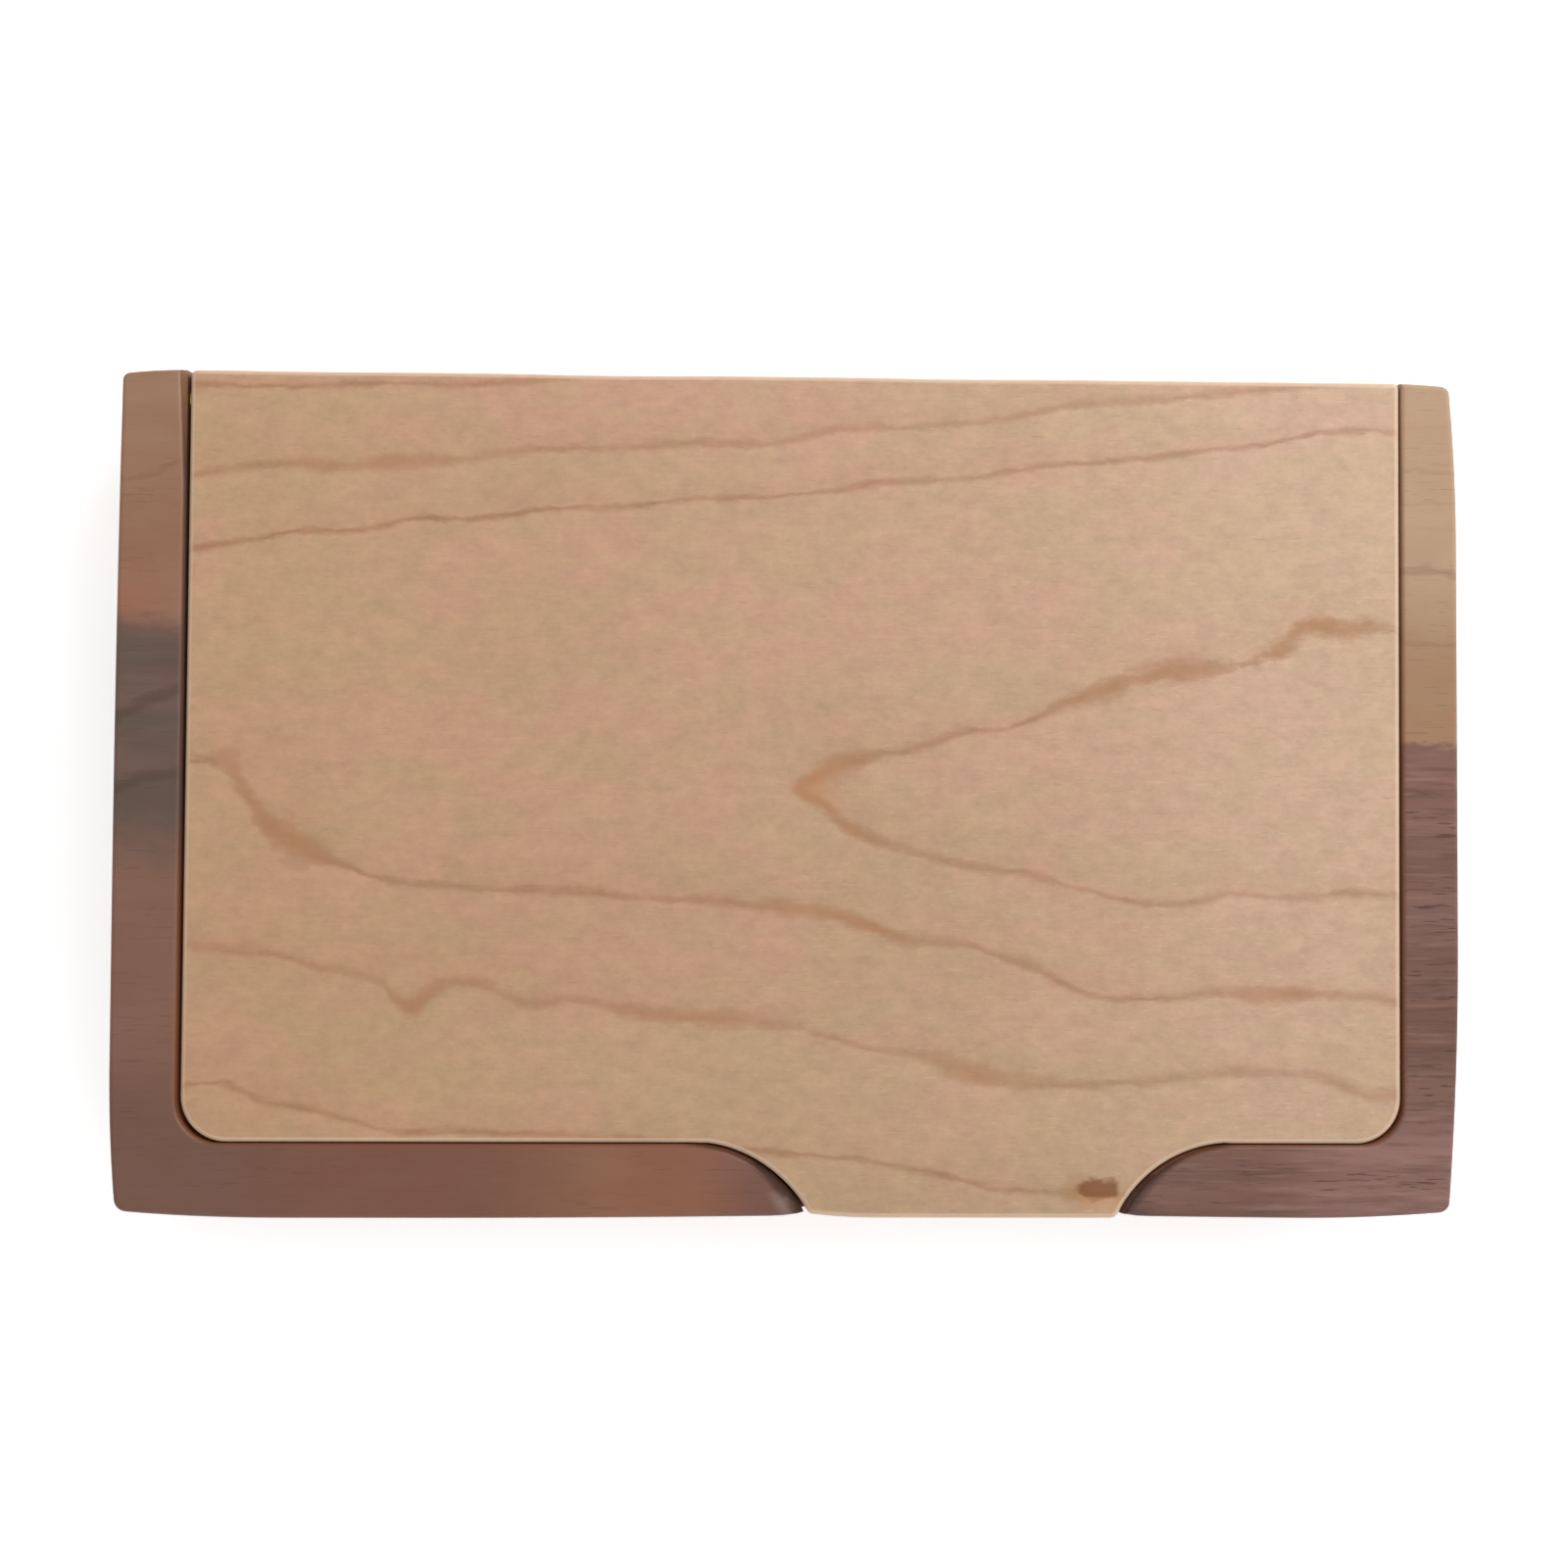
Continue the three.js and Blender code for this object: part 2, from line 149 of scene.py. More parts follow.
PIN_HOLE = 0.85 * MM
PIN_HOLE_DEPTH = 6 * MM
PIN_HOLE_EASE = 0.1 * MM
MAGNET_SOCKET = 2.1 * MM
SOCKET_DEPTH = 2.15 * MM
SOCKET_EASE = 0.12 * MM
MAGNET_SPOTS = (4.25 * MM, 22.25 * MM)
MAGNET_Y = -28.25 * MM
LEFT_END = -CASE_LENGTH / 2
RIGHT_END = CASE_LENGTH / 2
FRONT_FACE = -CASE_WIDTH / 2
REAR_FACE = CASE_WIDTH / 2
# How many points are put along the case's long sides and along its short ones before they are shaped.
SIDE_CUTS = (101, 63)

# Each corner: which way it points, the radius of its tip, and how far in the two sides have fallen
# at it and from how far off, first the side along X and then the side along Y.
CORNERS = (
    ((1, -1), 0.9 * MM, (0.45 * MM, 12 * MM), (0.74 * MM, 20 * MM)),
    ((1, 1), 0.7 * MM, (0.20 * MM, 5 * MM), (0.50 * MM, 12 * MM)),
    ((-1, 1), 0.6 * MM, (0.25 * MM, 4.5 * MM), (0.30 * MM, 40 * MM)),
    ((-1, -1), 1.0 * MM, (0.45 * MM, 12 * MM), (0.45 * MM, 10 * MM)),
)

# The hollow for the thumb is a long easy fall from each side and then the hollow itself: the stretch
# of the front face that goes in all the way, how deep, how it runs out, and over what distance.
HOLLOW_STEPS = (
    ((1 * MM, 25.5 * MM), 0.23 * MM, "SHARP", 30 * MM),
    ((8.4 * MM, 17.6 * MM), 1.95 * MM, "SMOOTH", 9.7 * MM),
)


def take(kind, chosen):
    """Selects the corners, edges or faces that chosen agrees to, given the middle and the item."""
    bpy.ops.mesh.select_mode(type=kind)
    bpy.ops.mesh.select_all(action="DESELECT")
    work = bmesh.from_edit_mesh(bpy.context.edit_object.data)
    items = {"VERT": work.verts, "EDGE": work.edges, "FACE": work.faces}[kind]
    for item in items:
        points = [item.co] if kind == "VERT" else [v.co for v in item.verts]
        middle = sum(points, Vector()) / len(points)
        item.select_set(bool(chosen(middle, item)))
    work.select_flush_mode()
    bmesh.update_edit_mesh(bpy.context.edit_object.data)


def lies_along(edge, axis):
    """Whether an edge runs along an axis."""
    run = (edge.verts[1].co - edge.verts[0].co).normalized()
    return abs(run[axis]) > 0.999


def slide(x=0.0, y=0.0, z=0.0):
    bpy.ops.transform.translate(value=(x, y, z))


def draw_out(x=0.0, y=0.0, z=0.0, falloff="SHARP", reach=0.01):
    """Moves what is selected, and what is near it by less and less."""
    bpy.ops.transform.translate(
        value=(x, y, z),
        use_proportional_edit=True,
        proportional_edit_falloff=falloff,
        proportional_size=reach,
    )


def round_edges(radius, segments, affect="EDGES"):
    bpy.ops.mesh.bevel(
        offset=radius, segments=segments, affect=affect, profile=0.5, clamp_overlap=False
    )


def round_corners(radius, segments):
    round_edges(radius, segments, affect="VERTICES")


def turn_outwards():
    """Makes all faces of the piece in edit mode point out of it."""
    bpy.ops.mesh.select_all(action="SELECT")
    bpy.ops.mesh.normals_make_consistent(inside=False)


def raise_flat(height):
    """Pulls a flat shape up into a solid."""
    bpy.ops.mesh.select_mode(type="FACE")
    bpy.ops.mesh.select_all(action="SELECT")
    bpy.ops.mesh.extrude_region_move(TRANSFORM_OT_translate={"value": (0, 0, height)})
    turn_outwards()


def take_top(kind):
    """Selects the edges of the highest rim, or the faces that lie level there."""
    top = max(v.co.z for v in bmesh.from_edit_mesh(bpy.context.edit_object.data).verts)
    take(kind, lambda m, item: m.z > top - NEARLY and (kind == "EDGE" or abs(item.normal.z) > 0.9))


def flare_top(steps):
    """Leads the open top of a cutter outwards by small steps of (rise, growth), then closes it."""
    take_top("FACE")
    bpy.ops.mesh.delete(type="ONLY_FACE")
    for rise, growth in steps:
        take_top("EDGE")
        bpy.ops.mesh.extrude_edges_move(TRANSFORM_OT_translate={"value": (0, 0, rise)})
        if growth:
            bpy.ops.mesh.select_mode(type="VERT")
            bpy.ops.transform.shrink_fatten(value=growth, use_even_offset=True)
    take_top("EDGE")
    bpy.ops.mesh.edge_face_add()
    turn_outwards()


def eased(radius, steps=4):
    """Steps of a small round-over, for the mouth of a cutter, and the run past the face."""
    turns = [math.radians(90 / steps * i) for i in range(steps + 1)]
    out = [radius * (1 - math.cos(t)) for t in turns]
    up = [radius * math.sin(t) for t in turns]
    return [(up[i + 1] - up[i], out[i + 1] - out[i]) for i in range(steps)] + [(PAST_FACE, 0)]


def flat_board(name, left, right, front, rear, z=0.0):
    """A flat rectangle, left in edit mode for shaping."""
    rest_on_nothing()
    bpy.ops.mesh.primitive_plane_add(size=1, location=((left + right) / 2, (front + rear) / 2, z))
    board = bpy.context.object
    board.name = name
    board.scale = (right - left, rear - front, 1)
    bpy.ops.object.transform_apply(location=True, rotation=True, scale=True)
    bpy.ops.object.mode_set(mode="EDIT")
    return board


def tongue_board(name, z, grow, corner, segments=12):
    """Flat face with the plan of the lid, grown by a gap all round, its tongue run past the front."""
    left = LEFT_END + LEFT_RAIL + LID_GAP - grow
    right = RIGHT_END - RIGHT_RAIL - LID_GAP + grow
    front = FRONT_FACE + FRONT_RAIL + LID_GAP - grow
    rear = REAR_FACE + grow
    horn = HORN_RADIUS + LID_GAP - grow
    board = flat_board(name, left, right, front, rear, z)
    # The front edge gets two more points, where the tongue's sides start, and the tongue is drawn out
    # from between them.
    take("EDGE", lambda m, e: abs(m.y - front) < NEARLY)
    bpy.ops.mesh.subdivide(number_cuts=2)
    root_left, root_right = TAB_CENTRE - TAB_SPREAD + horn, TAB_CENTRE + TAB_SPREAD - horn
    third = (right - left) / 3
    at_front = lambda m: abs(m.y - front) < NEARLY
    for old, new in ((left + third, root_left), (right - third, root_right)):
        take("VERT", lambda m, v: at_front(m) and abs(m.x - old) < NEARLY)
        slide(x=new - old)
    take("EDGE", lambda m, e: at_front(m) and root_left < m.x < root_right)
    bpy.ops.mesh.extrude_region_move(TRANSFORM_OT_translate={"value": (0, -horn, 0)})
    take("EDGE", lambda m, e: at_front(m) and root_left < m.x < root_right)
    bpy.ops.mesh.dissolve_edges(use_verts=False)
    take("VERT", lambda m, v: at_front(m) and root_left - NEARLY < m.x < root_right + NEARLY)
    round_corners(horn, 24)
    take("VERT", lambda m, v: at_front(m) and not left + NEARLY < m.x < right - NEARLY)
    round_corners(corner, segments)
    return board


def cut_away(piece, cutter):
    """Cuts one solid out of another."""
    use(piece)
    cut = piece.modifiers.new("cut", "BOOLEAN")
    cut.operation = "DIFFERENCE"
    cut.solver = "EXACT"
    cut.object = cutter
    bpy.ops.object.modifier_apply(modifier=cut.name)
    bpy.data.objects.remove(cutter)


def drill(name, radius, start, depth, axis, ease):
    """A round cutter along X or Z whose mouth, at start, flares; depth is signed."""
    rest_on_nothing()
    bpy.ops.mesh.primitive_circle_add(vertices=64, radius=radius, fill_type="NGON", location=(0, 0, 0))
    bit = bpy.context.object
    bit.name = name
    bpy.ops.object.mode_set(mode="EDIT")
    raise_flat(abs(depth) - ease)
    flare_top(eased(ease))
    bpy.ops.object.mode_set(mode="OBJECT")
    # The cutter stands with its mouth up, then is turned so that it points along its way in.
    way = {"x": (1, 0, 0), "z": (0, 0, 1)}[axis]
    inward = Vector(way) * (1 if depth > 0 else -1)
    bit.rotation_euler = inward.to_track_quat("-Z", "Y").to_euler()
    bit.location = Vector(start) + inward * abs(depth)
    bpy.ops.object.transform_apply(location=True, rotation=True, scale=True)
    return bit


body = flat_board("walnut_body", LEFT_END, RIGHT_END, FRONT_FACE, REAR_FACE)
for (sx, sy), tip, *_ in CORNERS:
    take("VERT", lambda m, v: m.x * sx > 0 and m.y * sy > 0)
    round_corners(tip, 6)
for axis, cuts in enumerate(SIDE_CUTS):
    for end in (1, -1):
        whole = lambda edge: edge.calc_length() > CASE_WIDTH / 2
        take("EDGE", lambda m, e: lies_along(e, axis) and m[1 - axis] * end > 0 and whole(e))
        bpy.ops.mesh.subdivide(number_cuts=cuts)
for (sx, sy), tip, (fall_x, reach_x), (fall_y, reach_y) in CORNERS:
    near_end = lambda m: abs(m.x * sx - RIGHT_END) < tip + NEARLY
    take("VERT", lambda m, v: near_end(m) and abs(m.y * sy - REAR_FACE) < tip + NEARLY)
    draw_out(y=-sy * fall_x, reach=reach_x)
    # That drew the tip in along Y, by less than 1 mm.
    take("VERT", lambda m, v: near_end(m) and abs(m.y * sy - REAR_FACE) < tip + 1 * MM)
    draw_out(x=-sx * fall_y, reach=reach_y)
for (start, end), depth, falloff, reach in HOLLOW_STEPS:
    take("VERT", lambda m, v: m.y < FRONT_FACE + 0.4 * MM and start < m.x < end)
    draw_out(y=depth, falloff=falloff, reach=reach)
raise_flat(CASE_HEIGHT)
take("EDGE", lambda m, e: abs(m.z) < NEARLY or abs(m.z - CASE_HEIGHT) < NEARLY)
round_edges(EDGE_ROUND, 5)
bpy.ops.object.mode_set(mode="OBJECT")

# Rebate for the lid. Its mouth is eased, and the top of each horn is sanded back to a facet that
# widens towards the tongue. Its left side was cut a little further in and a little aslant, and its
# wall leans in towards the lid below the mouth.
RECESS_EASE = 0.4 * MM
LEFT_SIDE = -40 * MM
LEFT_FULLNESS = 0.13 * MM
LEFT_SLANT = 0.12 * MM
LEFT_LEAN = 0.19 * MM
LEAN_DEPTH = 1.8 * MM
FACET_DEPTH = 0.65 * MM
FACET_START = 9 * MM
FACETS = ((-1, 0.45 * MM), (1, 0.35 * MM))
# Towards the rear the left rail's inner edge is worn away a little more.
WORN_FROM = 23.5 * MM
WORN_BY = 0.5 * MM
rebate = tongue_board("rebate_cutter", SEAT, LID_GAP, RECESS_CORNER)
take("EDGE", lambda m, e: m.y > REAR_FACE)
slide(y=PAST_FACE)
take("VERT", lambda m, v: m.x < LEFT_SIDE)
slide(x=LEFT_FULLNESS)
take("VERT", lambda m, v: m.x < 0 and m.y > REAR_FACE)
slide(x=LEFT_SLANT)
raise_flat(CASE_HEIGHT - LEAN_DEPTH - SEAT)
flare_top([(LEAN_DEPTH - FACET_DEPTH, 0), (FACET_DEPTH - RECESS_EASE, 0)] + eased(RECESS_EASE))
take("VERT", lambda m, v: m.x < LEFT_SIDE and m.z < CASE_HEIGHT - LEAN_DEPTH + NEARLY)
slide(x=LEFT_LEAN)
in_mouth = lambda m: m.z > CASE_HEIGHT - RECESS_EASE - NEARLY
on_arcs = lambda m: m.y < FRONT_FACE + FRONT_RAIL + 0.01 * MM
for side, run in FACETS:
    beside = lambda m: FACET_START < (m.x - TAB_CENTRE) * side < TAB_SPREAD + 0.5 * MM
    take("VERT", lambda m, v: in_mouth(m) and on_arcs(m) and beside(m))
    slide(x=side * run)
bpy.ops.mesh.select_all(action="SELECT")
bpy.ops.mesh.bisect(plane_co=(0, WORN_FROM, 0), plane_no=(0, 1, 0))
take("VERT", lambda m, v: in_mouth(m) and m.x < 0 and m.y > REAR_FACE)
slide(x=-WORN_BY)
bpy.ops.object.mode_set(mode="OBJECT")
cut_away(body, rebate)

# The pocket for the cards.
pocket_sides = (LEFT_END + LEFT_RAIL + SIDE_LEDGE, RIGHT_END - RIGHT_RAIL - SIDE_LEDGE)
pocket_ends = (FRONT_FACE + FRONT_RAIL + FRONT_LEDGE, REAR_FACE - REAR_WALL)
pocket = flat_board("pocket_cutter", *pocket_sides, *pocket_ends, POCKET_FLOOR)
bpy.ops.mesh.select_mode(type="VERT")
bpy.ops.mesh.select_all(action="SELECT")
round_corners(POCKET_CORNER, 10)
raise_flat(SEAT - POCKET_FLOOR - POCKET_EASE)
flare_top(eased(POCKET_EASE))
bpy.ops.object.mode_set(mode="OBJECT")
cut_away(body, pocket)

# The rear wall is cut lower than the seat, a hair inside the rebate's left wall.
left_inset = LEFT_FULLNESS + LEFT_SLANT + LEFT_LEAN + 0.05 * MM
wall_low = (LEFT_END + LEFT_RAIL + left_inset, REAR_FACE - REAR_WALL, REAR_WALL_TOP)
wall_high = (RIGHT_END - RIGHT_RAIL, REAR_FACE + PAST_FACE, CASE_HEIGHT + PAST_FACE)
rest_on_nothing()
bpy.ops.mesh.primitive_cube_add(size=1)
wall_cutter = bpy.context.object
wall_cutter.location = [(a + b) / 2 for a, b in zip(wall_low, wall_high)]
wall_cutter.scale = [b - a for a, b in zip(wall_low, wall_high)]
bpy.ops.object.transform_apply(location=True, rotation=True, scale=True)
cut_away(body, wall_cutter)

for side, end in ((1, LEFT_END), (-1, RIGHT_END)):
    mouth = (end, HINGE_Y, HINGE_Z)
    cut_away(body, drill("pin_drill", PIN_HOLE, mouth, side * PIN_HOLE_DEPTH, "x", PIN_HOLE_EASE))
for spot in MAGNET_SPOTS:
    mouth = (spot, MAGNET_Y, SEAT)
    cut_away(body, drill("socket_drill", MAGNET_SOCKET, mouth, -SOCKET_DEPTH, "z", SOCKET_EASE))


def finish_edges(piece, angle=30):
    """Takes out doubled corners and gives the surfaces clean normals."""
    use(piece)
    bpy.ops.object.mode_set(mode="EDIT")
    bpy.ops.mesh.select_all(action="SELECT")
    bpy.ops.mesh.remove_doubles(threshold=NEARLY)
    turn_outwards()
    bpy.ops.object.mode_set(mode="OBJECT")
    bpy.ops.object.shade_smooth_by_angle(angle=math.radians(angle), keep_sharp_edges=False)
    even = piece.modifiers.new("even_normals", "WEIGHTED_NORMAL")
    even.keep_sharp = True
    even.weight = 60
    bpy.ops.object.modifier_apply(modifier=even.name)


finish_edges(body)


class Finish:
    """A material under way: each call adds one step of it and gives that step's result."""

    def __init__(self, name):
        self.material = bpy.data.materials.new(name)
        self.material.use_nodes = True
        self.tree = self.material.node_tree
        self.surface = self.tree.nodes["Principled BSDF"]

    def add(self, kind, **settings):
        node = self.tree.nodes.new(kind)
        for key, value in settings.items():
            setattr(node, key, value)
        return node

    def feed(self, socket, value):
        if isinstance(value, bpy.types.NodeSocket):
            self.tree.links.new(value, socket)
        else:
            socket.default_value = value

    def reckon(self, how, *values):
        """One step of arithmetic."""
        node = self.add("ShaderNodeMath", operation=how)
        for socket, value in zip(node.inputs, values):
            self.feed(socket, value)
        return node.outputs[0]

    def times(self, value, *others):
        for other in others:
            value = self.reckon("MULTIPLY", value, other)
        return value

    def plus(self, value, *others):
        for other in others:
            value = self.reckon("ADD", value, other)
        return value

    def minus(self, value, other):
        return self.reckon("SUBTRACT", value, other)

    def most(self, value, other):
        return self.reckon("MAXIMUM", value, other)

    def off(self, value, middle):
        """How far a value is from a middle one, on either side."""
        return self.reckon("ABSOLUTE", self.minus(value, middle))

    def distance(self, one, other):
        """How far off a place is that lies so far one way and so far the other way."""
        return self.reckon("SQRT", self.plus(self.times(one, one), self.times(other, other)))

    def spread(self, value, low, high, to_low=0.0, to_high=1.0, how="LINEAR"):
        """Leads a result evenly from to_low to to_high while the value goes from low to high."""
        node = self.add("ShaderNodeMapRange", interpolation_type=how)
        for socket, item in zip(node.inputs, (value, low, high, to_low, to_high)):
            self.feed(socket, item)
        return node.outputs[0]

    def ease(self, *values):
        """The same with a soft start and end."""
        return self.spread(*values, how="SMOOTHSTEP")

    def where(self, *limits):
        """The product of several eased values, for a patch that has limits on each side."""
        return self.times(*[self.ease(*limit) for limit in limits])

    def measure(self, name):
        """A measure that mark_surface keeps on the mesh."""
        return self.add("ShaderNodeAttribute", attribute_name=name).outputs["Fac"]

    def place(self):
        """Where a point is on the piece, in millimetres."""
        where = self.add("ShaderNodeTexCoord").outputs["Object"]
        node = self.add("ShaderNodeVectorMath", operation="SCALE")
        self.feed(node.inputs[0], where)
        node.inputs["Scale"].default_value = 1000
        return node.outputs[0]

    def parts(self, vector):
        node = self.add("ShaderNodeSeparateXYZ")
        self.feed(node.inputs[0], vector)
        return node.outputs[0], node.outputs[1], node.outputs[2]

    def cloud(self, vector, size, shift=0.0, detail=2.0, rough=0.5, swirl=0.0):
        """Soft noise whose blots are about so many millimetres long, wide and deep, from 0 to 1."""
        turn = self.add("ShaderNodeMapping")
        self.feed(turn.inputs["Vector"], vector)
        turn.inputs["Scale"].default_value = [1 / s for s in size]
        turn.inputs["Location"].default_value = (shift, shift * 0.7, shift * 1.3)
        node = self.add("ShaderNodeTexNoise")
        self.feed(node.inputs["Vector"], turn.outputs[0])
        node.inputs["Scale"].default_value = 1
        node.inputs["Detail"].default_value = detail
        node.inputs["Roughness"].default_value = rough
        node.inputs["Distortion"].default_value = swirl
        return node.outputs[0]

    def mix(self, share, one, other, how="MIX"):
        """Leads one colour over to the other by the share, from 0 to 1."""
        node = self.add("ShaderNodeMix", data_type="RGBA", blend_type=how)
        self.feed(node.inputs["Factor"], share)
        self.feed(node.inputs[6], one)
        self.feed(node.inputs[7], other)
        return node.outputs[2]

    def tint(self, share, colour, stain):
        """Multiplies a colour by a stain, as a glaze does, by the share."""
        return self.mix(share, colour, stain, how="MULTIPLY")

    def curve(self, value, low, high, points, bottom, top):
        """A drawn curve: the height over each place, through the given points."""
        share = self.spread(value, low, high)
        node = self.add("ShaderNodeFloatCurve")
        self.feed(node.inputs["Value"], share)
        line = node.mapping.curves[0]
        spots = [((x - low) / (high - low), (y - bottom) / (top - bottom)) for x, y in points]
        line.points[0].location = spots[0]
        line.points[1].location = spots[-1]
        for spot in spots[1:-1]:
            line.points.new(*spot)
        node.mapping.update()
        return self.spread(node.outputs[0], 0.0, 1.0, bottom, top)

    def relief(self, height, distance, strength=1.0):
        node = self.add("ShaderNodeBump")
        node.inputs["Strength"].default_value = strength
        node.inputs["Distance"].default_value = distance
        self.feed(node.inputs["Height"], height)
        self.feed(self.surface.inputs["Normal"], node.outputs[0])

    def give(self, **settings):
        """Sets the surface's own inputs, named in lower case with _ for each space."""
        sockets = {socket.name.lower().replace(" ", "_"): socket for socket in self.surface.inputs}
        for name, value in settings.items():
            self.feed(sockets[name], value)

    def put_on(self, piece):
        piece.data.materials.clear()
        piece.data.materials.append(self.material)


# The milled walls lie within this distance of the middle. In front of the line, a face that looks
# forward belongs to the outside.
WALLS_END = 48 * MM
HORN_LINE = -29 * MM


def mark_surface(piece, *measures):
    """Keeps measures of the surface's slope and place at each face corner, for the finish to read."""
    mesh = piece.data
    for measure in measures:
        marks = mesh.attributes.new(measure.__name__, "FLOAT", "CORNER")
        places = [mesh.vertices[loop.vertex_index].co for loop in mesh.loops]
        values = [measure(corner.vector, place) for corner, place in zip(mesh.corner_normals, places)]
        marks.data.foreach_set("value", values)


def end_grain(normal, place):
    """How squarely the grain, which runs along X, meets the surface."""
    return normal.x ** 2


def eased_edge(normal, place):
    """1 halfway round an eased edge between a level face and an upright one, 0 on either face."""
    return 2 * abs(normal.z) * math.hypot(normal.x, normal.y)


def milled_wall(normal, place):
    """1 on the upright walls that the cutter left inside the block."""
    inside = abs(place.x) < WALLS_END and place.y < REAR_FACE - 1 * MM
    below_mouth = POCKET_FLOOR < place.z < CASE_HEIGHT - 0.1 * MM
    outer_face = place.y < HORN_LINE and normal.y < -0.3
    return 1.0 if inside and below_mouth and abs(normal.z) < 0.5 and not outer_face else 0.0


def rebate_mouth(normal, place):
    """How far the rebate's eased mouth leans: 0 where it leaves the top face, 1 where it goes down."""
    within = LEFT_RAIL - 1 * MM < place.x - LEFT_END and RIGHT_RAIL - 1 * MM < RIGHT_END - place.x
    within = within and FRONT_FACE + 0.9 * MM < place.y < REAR_FACE - 0.7 * MM
    return math.hypot(normal.x, normal.y) if within and place.z > CASE_HEIGHT - 1 * MM else 0.0


# Oiled walnut. The rear part of the block is tan sapwood and the front part dark heartwood; the line
# between them runs aslant. On the left the heartwood starts with a grey-brown zone. All places in the
# finish are in millimetres.
TOP = CASE_HEIGHT / MM
SAP_LEFT, SAP_RIGHT = (0.308, 0.177, 0.107, 1), (0.444, 0.302, 0.193, 1)
SAP_INNER, SAP_RED = (0.322, 0.188, 0.105, 1), (0.262, 0.130, 0.078, 1)
SAP_FRINGE = (0.300, 0.128, 0.082, 1)
HEART_LEFT, HEART_RIGHT = (0.158, 0.078, 0.054, 1), (0.161, 0.081, 0.060, 1)
HEART_PURPLE, HEART_LIGHTER = (0.192, 0.101, 0.085, 1), (0.201, 0.101, 0.068, 1)
HEART_RED, HEART_WARM = (0.180, 0.074, 0.044, 1), (0.245, 0.112, 0.062, 1)
HEART_BY_SAP, HEART_CORNER = (0.197, 0.097, 0.077, 1), (0.223, 0.122, 0.103, 1)
HEART_BROWN, HEART_GREY = (0.168, 0.092, 0.076, 1), (0.108, 0.074, 0.056, 1)
HORN_STAIN, GROWTH_STAIN = (0.975, 0.905, 0.925, 1), (0.42, 0.32, 0.24, 1)
STREAK_STAIN, TONE_STAIN = (0.40, 0.33, 0.30, 1), (0.93, 0.80, 0.75, 1)
LIGHT_STREAK, PORE = (0.42, 0.27, 0.22, 1), (0.045, 0.022, 0.014, 1)
# Painted shade for the rebate's mouth, red-brown and, in the grey zone, grey.
MOUTH_SHADE, MOUTH_SHADE_GREY = (0.185, 0.075, 0.038, 1), (0.128, 0.066, 0.049, 1)
# Painted shade for the left and right horns, and a painted sheen for the left horn's tip.
LEFT_HORN_SHADE, RIGHT_HORN_SHADE, PAINTED_SHEEN = (0.048, 0.019, 0.010, 1), (0.36, 0.34, 0.38, 1), (0.30, 0.235, 0.20, 1)
END_GRAIN_STAIN = (0.62, 0.55, 0.50, 1)
# Raw wall colours; the lighter top colour is partly painted light in the gap.
RAW_LOW, RAW_LIT_TOP, RAW_GREY = (0.36, 0.145, 0.078, 1), (0.56, 0.205, 0.095, 1), (0.34, 0.185, 0.14, 1)
# The red spot and the darker place by the left horn, along the front rail; the middle of the horns'
# arcs; the right horn's tip, darkened by painted shade; and the spot of painted sheen on the left
# horn.
RED_SPOT_X, BY_HORN_X, HORN_ARC_Y = -28.0, -6.0, -36.4
RIGHT_TIP_X, RIGHT_TIP_Y = 25.4, -32.2
SHEEN_SPOT_X, SHEEN_SPOT_Y = -0.6, -31.1
# Growth lines that cross the rails: which end of the case, where the line leaves the edge, how it
# slants, its half-width and its depth of colour.
GROWTH_LINES = (
    (-1, 23.7, 0.26, 0.34, 0.18),
    (-1, 5.6, 0.42, 0.80, 0.42),
    (-1, 0.2, 0.28, 0.65, 0.36),
    (1, 25.2, 0.05, 0.28, 0.14),
    (1, 22.7, 0.06, 0.25, 0.15),
    (1, 17.2, 0.10, 0.45, 0.33),
    (1, 11.9, 0.05, 0.40, 0.20),
)

walnut = Finish("oiled_walnut")
at = walnut.place()
x, y, z = walnut.parts(at)
rightness = walnut.spread(x, -48.0, 46.0)
# How far a point is behind the line between heartwood and sapwood.
drift = walnut.cloud(at, (40, 9, 9), shift=3.1)
waver = walnut.cloud(at, (9, 3, 3), shift=8.3)
fray = walnut.cloud(at, (2.2, 1.1, 1.1), shift=12.6, detail=3, rough=0.65)
behind = walnut.plus(
    walnut.minus(walnut.plus(y, walnut.times(x, 0.087)), 8.6),
    walnut.times(walnut.minus(z, TOP), 0.35),
    walnut.spread(drift, 0.0, 1.0, -1.5, 1.5),
    walnut.spread(waver, 0.0, 1.0, -0.6, 0.6),
    walnut.spread(fray, 0.2, 0.8, -0.8, 0.8),
)

sap_bands = walnut.cloud(at, (30, 4, 4), shift=1.7, detail=2)
sapwood = walnut.mix(rightness, SAP_LEFT, SAP_RIGHT)
for share, shade in (
    (walnut.times(walnut.ease(behind, 18.0, 3.5), rightness), SAP_INNER),
    (walnut.where((sap_bands, 0.40, 0.72), (rightness, 0.0, 1.0, 0.6, 0.10)), SAP_RED),
    (walnut.where((behind, 17.0, 6.0), (x, -30.0, -40.0, 0.0, 0.78)), SAP_RED),
    (walnut.where((behind, 5.5, 0.8), (x, -46.0, -51.0, 0.0, 0.75)), SAP_FRINGE),
):
    sapwood = walnut.mix(share, sapwood, shade)

